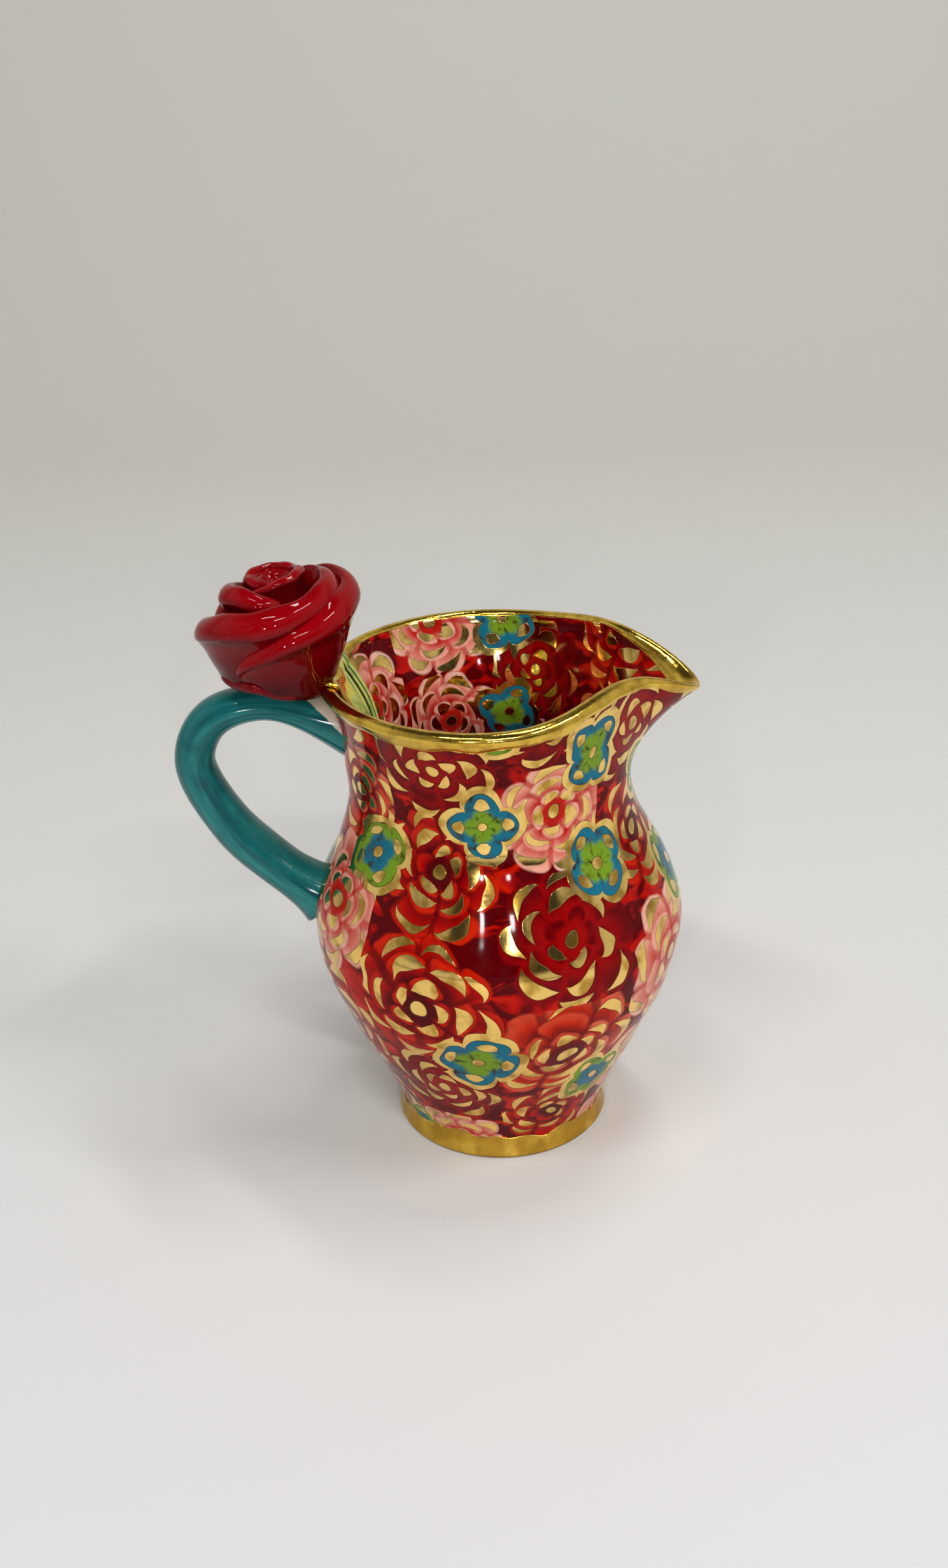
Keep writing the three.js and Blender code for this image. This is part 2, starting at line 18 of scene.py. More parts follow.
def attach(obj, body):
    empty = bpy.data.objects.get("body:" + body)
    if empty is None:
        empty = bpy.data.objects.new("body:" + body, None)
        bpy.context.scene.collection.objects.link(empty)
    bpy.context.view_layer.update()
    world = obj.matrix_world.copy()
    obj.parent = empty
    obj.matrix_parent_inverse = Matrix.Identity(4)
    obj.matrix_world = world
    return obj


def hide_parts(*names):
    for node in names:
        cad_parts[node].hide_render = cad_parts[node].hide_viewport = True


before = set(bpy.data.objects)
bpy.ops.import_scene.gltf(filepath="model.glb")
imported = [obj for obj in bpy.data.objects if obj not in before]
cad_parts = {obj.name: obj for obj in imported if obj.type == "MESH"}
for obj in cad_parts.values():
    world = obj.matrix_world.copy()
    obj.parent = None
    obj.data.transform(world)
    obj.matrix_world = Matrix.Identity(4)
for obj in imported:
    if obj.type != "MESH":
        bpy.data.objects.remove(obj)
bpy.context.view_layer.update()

log = logging.getLogger("cream_jug")

MM = 0.001
TINY = 1e-9
BODY = "root"

Points = np.ndarray
Pair = tuple[float, float]
# A span says where an S is 0 and where it is 1.
Span = tuple[float, float]
Shares = tuple[float, ...]
Waves = tuple[int, ...]
Place = tuple[float, float, float]
Color = tuple[float, float, float]
Marks = dict[str, Points]
Number = Union["Value", float]


class Slot(Enum):
    """The record's material slots."""

    PAINTED = "painted_glaze"
    GOLD = "gold_lustre"
    TEAL = "teal_glaze"
    LEAF = "leaf_glaze"
    ROSE = "rose_glaze"


# Curves and meshes


def bell(x: Points, middle: float, spread: float) -> Points:
    """A bell-shaped weight, 1 at the middle."""
    return np.exp(-(((x - middle) / spread) ** 2))


def smoothstep(x: Points, low: float, high: float) -> Points:
    """0 below low, 1 above high, and an even S between them."""
    share = np.clip((x - low) / (high - low), 0, 1)
    return share * share * (3 - 2 * share)


def cubic(knots: list[tuple[float, float, float]], at: Points) -> Points:
    """A cubic through knots.

    Args:
        knots: Place, value and slope of each knot.
        at: Places to read the curve at.

    Returns:
        The curve's values there.
    """
    place, value, slope = (np.array(column) for column in zip(*knots))
    i = np.clip(np.searchsorted(place, at, side="left") - 1, 0, len(place) - 2)
    span = place[i + 1] - place[i]
    t = (at - place[i]) / span
    u = 1 - t
    bend = span * t * u * (slope[i] * u - slope[i + 1] * t)
    return value[i] * u * u * (1 + 2 * t) + value[i + 1] * t * t * (3 - 2 * t) + bend


def spline(points: Points, at: Points, centripetal: bool = False) -> Points:
    """A Catmull-Rom curve.

    Args:
        points: The points it passes through, one a row.
        at: Places from 0 to 1, with as much of that to each stretch.
        centripetal: Whether the knots are spaced by the root of their distance.

    Returns:
        One point a row.
    """
    padded = np.vstack([2 * points[0] - points[1], points, 2 * points[-1] - points[-2]])
    place = np.clip(at, 0, 1) * (len(points) - 1)
    i = np.minimum(place.astype(int), len(points) - 2)
    t = (place - i)[:, None]
    before, start, end, after = (padded[i + k] for k in range(4))
    gaps = np.ones((3, len(t), 1))
    if centripetal:
        ends = ((before, start), (start, end), (end, after))
        gaps = np.array([np.linalg.norm(b - a, axis=1, keepdims=True) ** 0.5 for a, b in ends])
    leave = (start - before) / gaps[0] - (end - before) / (gaps[0] + gaps[1]) + (end - start) / gaps[1]
    reach = (end - start) / gaps[1] - (after - start) / (gaps[1] + gaps[2]) + (after - end) / gaps[2]
    leave, reach = leave * gaps[1], reach * gaps[1]
    square, cube = t * t, t * t * t
    steady = start * (2 * cube - 3 * square + 1) + end * (3 * square - 2 * cube)
    return steady + leave * (cube - 2 * square + t) + reach * (cube - square)


def waves(at: Points, seed: int, turns: Waves) -> Points:
    """An even wobble round a full turn, from about -1 to 1.

    Args:
        at: Angles in radians.
        seed: Picks the phases.
        turns: How many waves each term has in a full turn.

    Returns:
        The wobble at each angle.
    """
    phases = np.random.default_rng(seed).uniform(0, 2 * math.pi, len(turns))
    terms = [np.sin(turn * at + phase) for turn, phase in zip(turns, phases)]
    return sum(terms) / math.sqrt(len(turns))


def link_mesh(name: str, points: Points, faces: list[tuple[int, ...]]) -> bpy.types.Object:
    """A smooth mesh.

    Args:
        name: The object's name.
        points: Its points, one a row.
        faces: The points of each face.

    Returns:
        The new object, linked to the scene.
    """
    mesh = bpy.data.meshes.new(name)
    mesh.from_pydata(points.tolist(), [], faces)
    mesh.shade_smooth()
    piece = bpy.data.objects.new(name, mesh)
    bpy.context.scene.collection.objects.link(piece)
    return piece


def loft(name: str, rings: Points, marks: Optional[Marks] = None) -> bpy.types.Object:
    """A closed smooth skin through rings of points, with a fan over each end.

    Args:
        name: The piece's name.
        rings: Points of shape rings, sides, 3.
        marks: Numbers of shape rings, sides that the finish reads by name.

    Returns:
        The new piece, linked to the scene.
    """
    count, sides = rings.shape[:2]
    points = np.vstack([rings.reshape(-1, 3), rings[0].mean(0), rings[-1].mean(0)])
    here = np.arange(sides)
    beside = (here + 1) % sides
    row = np.arange(count - 1)[:, None] * sides
    quads = np.stack([row + here, row + beside, row + sides + beside, row + sides + here], axis=-1)
    first, end = count * sides, (count - 1) * sides
    fans = [(first, b, a) for a, b in zip(here, beside)]
    fans += [(first + 1, end + a, end + b) for a, b in zip(here, beside)]
    faces = [tuple(map(int, face)) for face in [*quads.reshape(-1, 4), *fans]]
    corners = [(f[0], f[k], f[k + 1]) for f in faces for k in range(1, len(f) - 1)]
    a, b, c = (points[list(column)] for column in zip(*corners))
    if np.einsum("ij,ij->", a, np.cross(b, c)) < 0:
        faces = [face[::-1] for face in faces]
    piece = link_mesh(name, points, faces)
    for mark, values in (marks or {}).items():
        spread = np.concatenate([values.ravel(), [values[0].mean(), values[-1].mean()]])
        numbers = piece.data.attributes.new(mark, "FLOAT", "POINT").data
        numbers.foreach_set("value", spread.astype(np.float32))
    return piece


def loft_round(name: str, section: Points) -> bpy.types.Object:
    """A closed ring: a closed section that is carried once round the jug.

    Args:
        name: The piece's name.
        section: Points of shape points, around, 3.

    Returns:
        The new piece, linked to the scene.
    """
    count, around = section.shape[:2]
    index = np.arange(count * around).reshape(count, around)
    down, right = np.roll(index, -1, axis=0), np.roll(index, -1, axis=1)
    both = np.roll(down, -1, axis=1)
    faces = np.stack([index, right, both, down], axis=-1).reshape(-1, 4)
    points = section.reshape(-1, 3)
    a, b, c, d = (points[faces[:, k]] for k in range(4))
    volume = np.einsum("ij,ij->", a, np.cross(b, c)) + np.einsum("ij,ij->", a, np.cross(c, d))
    return link_mesh(name, points, (faces if volume > 0 else faces[:, ::-1]).tolist())


def settle(piece: bpy.types.Object, node: str, slot: Slot, finish: bpy.types.Material) -> None:
    """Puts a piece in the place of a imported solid.

    Args:
        piece: The finished mesh, in the frame of the solids.
        node: The solid that it stands for.
        slot: The record's slot that its finish belongs to.
        finish: Its material.
    """
    piece.data.materials.append(finish)
    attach(piece, BODY)
    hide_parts(node)
    log.info("%s: %d faces, %s", piece.name, len(piece.data.polygons), slot.value)


# Shader nodes


class Value:
    """A number that varies over a surface: one socket, with Python's operators."""

    def __init__(self, tree: bpy.types.NodeTree, socket: bpy.types.NodeSocket) -> None:
        """Wraps a socket of a tree."""
        self.tree = tree
        self.socket = socket

    @staticmethod
    def work(tree: bpy.types.NodeTree, operation: str, *terms: Number) -> "Value":
        """Adds one Math node.

        Args:
            tree: The tree that it goes into.
            operation: The node's operation.
            terms: What its sockets hold, in order.

        Returns:
            The result.
        """
        node = tree.nodes.new("ShaderNodeMath")
        node.operation = operation
        for term, socket in zip(terms, node.inputs):
            if isinstance(term, Value):
                tree.links.new(term.socket, socket)
            else:
                socket.default_value = term
        return Value(tree, node.outputs[0])

    def __add__(self, other: Number) -> "Value":
        """Sum."""
        return Value.work(self.tree, "ADD", self, other)

    __radd__ = __add__

    def __sub__(self, other: Number) -> "Value":
        """Difference."""
        return Value.work(self.tree, "SUBTRACT", self, other)

    def __rsub__(self, other: Number) -> "Value":
        """Difference from a number."""
        return Value.work(self.tree, "SUBTRACT", other, self)

    def __mul__(self, other: Number) -> "Value":
        """Product."""
        return Value.work(self.tree, "MULTIPLY", self, other)

    __rmul__ = __mul__

    def __truediv__(self, other: Number) -> "Value":
        """Quotient."""
        return Value.work(self.tree, "DIVIDE", self, other)

    def __rtruediv__(self, other: Number) -> "Value":
        """Quotient of a number."""
        return Value.work(self.tree, "DIVIDE", other, self)

    def __pow__(self, other: Number) -> "Value":
        """Power."""
        return Value.work(self.tree, "POWER", self, other)

    def __mod__(self, other: Number) -> "Value":
        """Remainder, never below 0."""
        return Value.work(self.tree, "FLOORED_MODULO", self, other)

    def __gt__(self, other: Number) -> "Value":
        """1 where it is greater, else 0."""
        return Value.work(self.tree, "GREATER_THAN", self, other)

    def __abs__(self) -> "Value":
        """Size without sign."""
        return Value.work(self.tree, "ABSOLUTE", self)

    def floor(self) -> "Value":
        """The whole number below."""
        return Value.work(self.tree, "FLOOR", self)

    def sin(self) -> "Value":
        """Sine of an angle in radians."""
        return Value.work(self.tree, "SINE", self)

    def most(self, other: Number) -> "Value":
        """The greater of two."""
        return Value.work(self.tree, "MAXIMUM", self, other)

    def turn_from(self, x: "Value") -> "Value":
        """Angle of the point (x, this) in radians."""
        return Value.work(self.tree, "ARCTAN2", self, x)

    def length_with(self, other: "Value") -> "Value":
        """Distance of the point (this, other) from the middle."""
        return (self * self + other * other) ** 0.5


Paint = Union[bpy.types.NodeSocket, Color]
Term = Union[Value, bpy.types.NodeSocket, float, Color]


class Mixer:
    """Adds nodes to one tree."""

    MIX_FACTOR, MIX_A, MIX_B, MIX_RESULT = 0, 6, 7, 2

    def __init__(self, tree: bpy.types.NodeTree) -> None:
        """Takes the tree of a material or of the world."""
        self.tree = tree

    def plug(self, term: Term, socket: bpy.types.NodeSocket) -> None:
        """Links or sets one socket.

        Args:
            term: A value, another socket, a number or a colour.
            socket: The socket that takes it.
        """
        if isinstance(term, Value):
            term = term.socket
        if isinstance(term, bpy.types.NodeSocket):
            self.tree.links.new(term, socket)
        elif socket.type == "RGBA" and len(term) == 3:
            socket.default_value = (*term, 1)
        else:
            socket.default_value = term

    def node(
        self,
        kind: str,
        settings: Optional[dict[str, object]] = None,
        inputs: Optional[dict[Union[str, int], Term]] = None,
    ) -> bpy.types.Node:
        """Adds one node.

        Args:
            kind: Its type, without the leading ShaderNode.
            settings: Its own settings, with a ramp's stops as pairs of place and colour.
            inputs: Values or links by socket name or number.

        Returns:
            The new node.
        """
        made = self.tree.nodes.new("ShaderNode" + kind)
        for name, value in (settings or {}).items():
            if name == "stops":
                self._stops(made.color_ramp, value)
            elif name == "interpolation" and kind == "ValToRGB":
                made.color_ramp.interpolation = value
            else:
                setattr(made, name, value)
        for name, term in (inputs or {}).items():
            self.plug(term, made.inputs[name])
        return made

    @staticmethod
    def _stops(ramp: bpy.types.ColorRamp, stops: list[tuple[float, Color]]) -> None:
        """Fills a colour ramp.

        Args:
            ramp: The ramp.
            stops: Places from 0 to 1, with their colours.
        """
        while len(ramp.elements) < len(stops):
            ramp.elements.new(1)
        for element, (place, color) in zip(ramp.elements, stops):
            element.position = place
            element.color = (*color, 1)

    def value(self, socket: bpy.types.NodeSocket) -> Value:
        """Wraps a socket of this material."""
        return Value(self.tree, socket)

    def mark(self, name: str) -> Value:
        """A number that the mesh carries."""
        return self.value(self.node("Attribute", {"attribute_name": name}).outputs["Fac"])

    def place(self) -> tuple[Value, Value, Value]:
        """The point's coordinates in metres."""
        split = self.node("SeparateXYZ", inputs={0: self.spot()})
        return tuple(self.value(socket) for socket in split.outputs)

    def spot(self) -> bpy.types.NodeSocket:
        """The point's coordinates as one vector."""
        return self.node("TexCoord").outputs["Object"]

    def vector(self, *parts: Number) -> bpy.types.NodeSocket:
        """Three numbers as one vector."""
        return self.node("CombineXYZ", inputs=dict(enumerate(parts))).outputs[0]

    def noise(self, size: float, detail: float = 2, at: Optional[Term] = None, warp: float = 0) -> Value:
        """Soft noise around 0.5.

        Args:
            size: The length of its grain, in the units of its place.
            detail: How many finer layers it has.
            at: The vector that it is read at, the point itself if left out.
            warp: How much it is stirred.

        Returns:
            The noise.
        """
        spot = self.spot() if at is None else at
        inputs = {"Vector": spot, "Scale": 1 / size, "Detail": detail, "Distortion": warp}
        return self.value(self.node("TexNoise", inputs=inputs).outputs["Fac"])

    def chances(self, *key: Number) -> tuple[Value, Value, Value]:
        """Three chances, the same wherever the key is the same.

        Args:
            key: Three numbers.

        Returns:
            Numbers from 0 to 1.
        """
        grain = self.node("TexWhiteNoise", {"noise_dimensions": "3D"}, {"Vector": self.vector(*key)})
        split = self.node("SeparateColor", inputs={0: grain.outputs["Color"]})
        return tuple(self.value(socket) for socket in split.outputs)

    def ease(self, x: Number, low: float, high: float) -> Value:
        """An S from 0 at low to 1 at high, which may lie below low."""
        inputs = {"Value": x, "From Min": low, "From Max": high}
        return self.value(self.node("MapRange", {"interpolation_type": "SMOOTHSTEP"}, inputs).outputs[0])

    def ramp(self, x: Value, stops: list[tuple[float, Color]], steps: bool = False) -> bpy.types.NodeSocket:
        """A colour picked along a row of stops, blended or in steps."""
        settings = {"interpolation": "CONSTANT" if steps else "LINEAR", "stops": stops}
        return self.node("ValToRGB", settings, {0: x}).outputs["Color"]

    def blend(self, share: Number, under: Paint, over: Paint) -> bpy.types.NodeSocket:
        """One colour laid over another.

        Args:
            share: How much of the upper one shows, from 0 to 1.
            under: The lower colour.
            over: The upper colour.

        Returns:
            The mixed colour.
        """
        inputs = {self.MIX_FACTOR: share, self.MIX_A: under, self.MIX_B: over}
        mixed = self.node("Mix", {"data_type": "RGBA", "clamp_factor": True}, inputs)
        return mixed.outputs[self.MIX_RESULT]

    def bump(self, height: Value, depth: float, strength: float = 1) -> bpy.types.NodeSocket:
        """A normal for a height from 0 to 1 that stands for a depth in metres."""
        inputs = {"Height": height, "Distance": depth, "Strength": strength}
        return self.node("Bump", inputs=inputs).outputs[0]


class Recipe(Mixer):
    """One material and the nodes that make its finish."""

    def __init__(self, name: str, **fixed: float) -> None:
        """Starts a material.

        Args:
            name: The finish's name.
            fixed: Values that are the same all over, by the shader's socket names with _ for a space.
        """
        self.material = bpy.data.materials.new(name)
        self.material.use_nodes = True
        super().__init__(self.material.node_tree)
        self.shader = next(n for n in self.tree.nodes if n.type == "BSDF_PRINCIPLED")
        for socket, value in fixed.items():
            self.shader.inputs[socket.replace("_", " ")].default_value = value

    def done(self, **varied: Term) -> bpy.types.Material:
        """Feeds what varies to the shader.

        Args:
            varied: Values by the shader's socket names, with _ for a space.

        Returns:
            The finished material.
        """
        for socket, term in varied.items():
            self.plug(term, self.shader.inputs[socket.replace("_", " ")])
        return self.material


# Finishes


@dataclass(frozen=True)
class GoldLustre:
    """Bright gold, brushed on over the glaze and fired."""

    color: Color = (0.82, 0.54, 0.08)
    thin: Color = (0.52, 0.3, 0.035)
    # Dark brown along the foot's bottom edge: worn gold with painted shade of the contact line
    wear_and_contact_shadow: Color = (0.07, 0.035, 0.006)
    roughness: float = 0.08
    ripple: float = 0.12 * MM
    patch: float = 4 * MM
    patch_thin: Span = (0.42, 0.68)
    patch_dull: Span = (0.45, 0.75)
    dull: float = 0.1
    grain: float = 0.7 * MM
    grain_dull: float = 0.08
    grain_relief: float = 0.25
    dimple: float = 2.6 * MM
    dimple_stir: float = 0.6
    stroke: float = 0.45 * MM
    stroke_thin: Span = (0.5, 0.7)
    stroke_share: float = 0.6
    stroke_dull: float = 0.08
    stroke_relief: float = 0.3
    broad_stroke: float = 1.4 * MM
    broad_thin: Span = (0.42, 0.6)
    stroke_run: float = 4 * MM
    stroke_stretch: float = 0.12
    foot_top: float = 12 * MM
    foot_shade_and_thin: float = 0.1
    foot_patchy: float = 0.8
    wear_and_shadow_edge: Span = (1.1 * MM, 0.4 * MM)
    wear_and_shadow_share: float = 0.85

    def coat(self, recipe: Recipe) -> tuple[bpy.types.NodeSocket, Value, Value]:
        """The gold of any finish that holds some.

        Args:
            recipe: The material in work.

        Returns:
            Its colour, roughness and height.
        """
        patches = recipe.noise(self.patch, 3)
        color = recipe.blend(recipe.ease(patches, *self.patch_thin), self.color, self.thin)
        grain = recipe.noise(self.grain, 2)
        dull = self.dull * recipe.ease(patches, *self.patch_dull) + self.grain_dull * (grain - 0.5)
        dimples = recipe.noise(self.dimple, 2, warp=self.dimple_stir)
        height = (1 - self.grain_relief) * dimples + self.grain_relief * grain
        return color, self.roughness + dull, height

    def material(self) -> bpy.types.Material:
        """The finish of the rim and the foot.

        Returns:
            The material.
        """
        recipe = Recipe("gold_lustre", Metallic=1.0)
        color, roughness, height = self.coat(recipe)
        x, y, z = recipe.place()
        around = recipe.vector(y.turn_from(x) * self.stroke_run, z * self.stroke_stretch, 0.0)
        strokes = recipe.noise(self.stroke, 3, around)
        color = recipe.blend(self.stroke_share * recipe.ease(strokes, *self.stroke_thin), color, self.thin)
        broad = recipe.ease(recipe.noise(self.broad_stroke, 2, around), *self.broad_thin)
        # Painted shade on the foot: its gold is pulled towards the thin colour, more in broad brush
        # patches.
        foot = recipe.ease(z, self.foot_top, self.foot_top / 2)
        color = recipe.blend(foot * (self.foot_shade_and_thin + self.foot_patchy * broad), color, self.thin)
        # Darker along the foot's bottom edge: worn gold, with painted shade of the contact line.
        color = recipe.blend(self.wear_and_shadow_share * recipe.ease(z, *self.wear_and_shadow_edge), color, self.wear_and_contact_shadow)
        normal = recipe.bump((1 - self.stroke_relief) * height + self.stroke_relief * strokes, self.ripple)
        roughness = roughness + self.stroke_dull * strokes
        return recipe.done(Base_Color=color, Roughness=roughness, Normal=normal)


@dataclass(frozen=True)
class Lattice:
    """One set of painted flowers: where its cells lie off the rows and columns, and its own chances."""

    across: float
    along: float
    layer: int


@dataclass(frozen=True)
class Cell:
    """A place in one cell of a painted lattice: its polar coordinates and the cell's own chances."""

    radius: Value
    turn: Value
    key: tuple[Value, Value]
    chances: tuple[Value, Value, Value]


@dataclass(frozen=True)
class PetalRing:
    """A painted ring of petals.

    reach is its outer radius in cells, notch how deep the petals are parted, gold where the gold lies
    from the middle to the edge, and uneven how much the petals' lengths differ.
    """

    count: int
    reach: float
    notch: float
    gold: float
    uneven: float = 0.12


@dataclass(frozen=True)
class Petal:
    """A place on a ring of petals.

    place is 0 at the middle and 1 at the petal's edge, inside is 1 on the ring, lobe is 1 along a
    petal's middle and 0 between two, luck is a chance for each petal, and slant runs across it.
    """

    place: Value
    inside: Value
    lobe: Value
    luck: Value
    slant: Value


@dataclass(frozen=True)
class PaintedGlaze:
    """Rosettes in rows, half a drop apart, with small four-lobed flowers between them."""

    columns: int = 8
    rosettes: Lattice = Lattice(0, 0, 6)
    flowers: Lattice = Lattice(0.375, 0.5, 2)
    rosette_rings: tuple[PetalRing, ...] = (
        PetalRing(8, 0.56, 0.2, 0.86),
        PetalRing(6, 0.39, 0.22, 0.82),
        PetalRing(5, 0.22, 0.25, 0.74),
    )
    flower_ring: PetalRing = PetalRing(4, 0.36, 0.3, 0.95, 0)
    rosette_eye: Span = (0.085, 0.035)
    flower_heart: Span = (0.07, 0.03)
    flower_core: Span = (0.6, 0.42)
    flower_missing: float = 0.22
    flower_shade: float = 0.9
    flower_shaded: Span = (0.5, 0.75)
    flower_soft: Span = (-0.05, 0.05)
    seed_place: float = 0.62
    seed_start: float = 0.78
    seed_width: float = 0.64
    outline: float = 0.1
    petal_red: Span = (0.5, 0.86)
    petal_light: Span = (0.74, 0.98)
    light_least: float = 0.2
    petal_parting: Span = (0.4, 0.12)
    parting_share: float = 0.75
    petal_round: float = 0.6
    ring_turns: int = 3
    ring_key: float = 0.37
    stroke: float = 0.058
    stroke_least: float = 0.7
    stroke_luck: float = 0.5
    stroke_start: float = 0.25
    stroke_tilt: float = 0.16
    stroke_soft: Span = (-0.03, 0.02)
    stroke_missing: float = 0.12
    gold_from: Span = (0.5, 0.72)
    edge_from: Span = (0.15, 0.5)
    edge_until: Span = (0.5, 0.8)
    edge_share: float = 0.75
    rosette_brush: float = 0.12
    rosette_run: Pair = (0.45, 0.6)
    flower_brush: float = 0.09
    flower_run: Pair = (0.2, 1.0)
    brush_apart: float = 9.0
    brush_share: float = 1.4
    ground_brush: float = 0.35
    ground_stretch: float = 1.6
    ground_stir: float = 1.2
    ground_stops: Shares = (0.36, 0.5, 0.6, 0.72)
    layer_rows: float = 40.0
    wander: float = 0.1
    warp: float = 0.09
    hand: float = 9 * MM
    hands_apart: tuple[Pair, ...] = ((0, 0), (1.7, 0.9))
    soft: float = 0.016
    plain_radius: float = 18 * MM
    plain_edge: float = 3 * MM
    bare_foot: Span = (0.5 * MM, 0.25 * MM)
    sheen: float = 0.08
    roughness: float = 0.04
    bare_dull: float = 0.5
    wash: float = 3 * MM
    wash_dark: Span = (0.5, 0.8)
    wash_share: float = 0.35
    wash_dull: float = 0.03
    ripple_width: float = 6 * MM
    ripple: float = 0.12 * MM
    ripple_share: float = 0.5
    gold_rise: float = 0.3
    gold_relief: float = 0.2
    relief: float = 0.6
    reds: tuple[Color, ...] = (
        (0.44, 0.003, 0.001),
        (0.1, 0.0005, 0.002),
        (0.58, 0.02, 0.002),
        (0.76, 0.27, 0.19),
    )
    shades: tuple[Color, ...] = (
        (0.085, 0.0005, 0.002),
        (0.3, 0.002, 0.002),
        (0.12, 0.0005, 0.002),
        (0.48, 0.01, 0.006),
    )
    lights: tuple[Color, ...] = (
        (0.62, 0.02, 0.002),
        (0.24, 0.001, 0.003),
        (0.74, 0.16, 0.08),
        (0.84, 0.5, 0.38),
    )
    shares: Shares = (0, 0.32, 0.5, 0.68)
    teal: Color = (0.008, 0.15, 0.23)
    green: Color = (0.17, 0.3, 0.016)
    cream: Color = (0.86, 0.76, 0.62)
    edge: Color = (0.035, 0.014, 0.006)
    gold: GoldLustre = GoldLustre(color=(0.95, 0.64, 0.18), thin=(0.5, 0.28, 0.045))

    def material(self) -> bpy.types.Material:
        """The finish of the body, inside and out.

        Returns:
            The material.
        """
        recipe = Recipe("painted_glaze", Specular_IOR_Level=self.sheen)
        across, along = self._field(recipe)
        paint = self._ground(recipe, across, along)
        rosette = self._cell(recipe, across, along, self.rosettes)
        paint, gold = self._rosette(recipe, rosette, paint)
        flower = self._cell(recipe, across, along, self.flowers)
        paint, gold = self._flower(recipe, flower, paint, gold)
        rim = recipe.ease(gold, *self.edge_from) - recipe.ease(gold, *self.edge_until)
        paint = recipe.blend(self.edge_share * rim, paint, self.edge)
        return self._fire(recipe, paint, recipe.ease(gold, *self.gold_from))

    def _field(self, recipe: Recipe) -> tuple[Value, Value]:
        """Columns round the jug and rows up its wall, stirred as a hand would.

        Args:
            recipe: The material in work.

        Returns:
            The columns and the rows, in cells.
        """
        x, y, z = recipe.place()
        across = y.turn_from(x) * (self.columns / (2 * math.pi)) + self.columns
        along = recipe.mark("paint_row")
        stirs = []
        for apart in self.hands_apart:
            spot = recipe.vector(x + apart[0], y + apart[1], z)
            stirs.append(2 * self.warp * (recipe.noise(self.hand, 1.5, spot) - 0.5))
        return across + stirs[0], along + stirs[1]

    def _cell(self, recipe: Recipe, across: Value, along: Value, lattice: Lattice) -> Cell:
        """Splits the field into cells.

        Args:
            recipe: The material in work.
            across: Columns.
            along: Rows.
            lattice: The set of flowers that the cells are for.

        Returns:
            The point's place in its cell.
        """
        moved = across - lattice.across
        column = moved.floor()
        dropped = along - lattice.along + 0.5 * (column % 2.0)
        row = dropped.floor()
        key = (column % float(self.columns), row + self.layer_rows * lattice.layer)
        chances = recipe.chances(*key, float(lattice.layer))
        x = moved - column - 0.5 - self.wander * (chances[0] - 0.5)
        y = dropped - row - 0.5 - self.wander * (chances[1] - 0.5)
        return Cell(x.length_with(y), y.turn_from(x), key, chances)

    def _petal(self, recipe: Recipe, cell: Cell, ring: PetalRing) -> Petal:
        """Splits a cell into round petals.

        Args:
            recipe: The material in work.
            cell: The place in the cell.
            ring: The ring of petals.

        Returns:
            The point's place on its petal.
        """
        spin = self.ring_turns * ring.count * cell.chances[2]
        turned = cell.turn * (ring.count / (2 * math.pi)) + spin
        number = turned.floor()
        slant = turned - number
        lobe = (slant * math.pi).sin()
        column, row = cell.key
        luck = recipe.chances(column + self.ring_key * ring.reach, row, number % float(ring.count))
        length = 1 - ring.uneven / 2 + ring.uneven * luck[1]
        place = cell.radius / (ring.reach * (1 - ring.notch * (1 - lobe**self.petal_round)) * length)
        soft = self.soft / ring.reach
        return Petal(place, recipe.ease(place, 1 + soft, 1 - soft), lobe, luck[0], slant)

    def _crescent(self, recipe: Recipe, petal: Petal, ring: PetalRing) -> Value:
        """A gold stroke near the edge of a petal.

        Args:
            recipe: The material in work.
            petal: The place on the petal.
            ring: The petal's ring.

        Returns:
            1 on the stroke and 0 off it.
        """
        shown = petal.luck > self.stroke_missing
        full = self.stroke_least + self.stroke_luck * petal.luck
        swell = self.stroke / ring.reach * (petal.lobe - self.stroke_start) * full
        tilt = self.stroke_tilt * (petal.slant - 0.5)
        return shown * recipe.ease(swell - abs(petal.place - ring.gold + tilt), *self.stroke_soft)

    def _pick(self, recipe: Recipe, chance: Value, colors: tuple[Color, ...]) -> bpy.types.NodeSocket:
        """One of the palette's colours for a cell."""
        return recipe.ramp(chance, list(zip(self.shares, colors)), steps=True)

    def _brush(self, recipe: Recipe, cell: Cell, run: Pair, size: float, detail: float) -> Value:
        """Marks of a brush that was drawn out from the middle of a cell.

        Args:
            recipe: The material in work.
            cell: The place in the cell.
            run: How fast the marks change round the cell and out from its middle.
            size: Their grain.
            detail: How many finer layers they have.

        Returns:
            Noise around 0.5.
        """
        spot = recipe.vector(cell.turn * run[0], cell.radius * run[1], cell.chances[0] * self.brush_apart)
        return recipe.noise(size, detail, spot)

    def _ground(self, recipe: Recipe, across: Value, along: Value) -> bpy.types.NodeSocket:
        """Loose strokes of red and pink that show between the flowers.

        Args:
            recipe: The material in work.
            across: Columns.
            along: Rows.

        Returns:
            The paint.
        """
        spot = recipe.vector(across, along * self.ground_stretch, 0.0)
        strokes = recipe.noise(self.ground_brush, 2, spot, self.ground_stir)
        colors = (self.reds[1], self.shades[0], self.reds[0], self.reds[2])
        return recipe.ramp(strokes, list(zip(self.ground_stops, colors)))

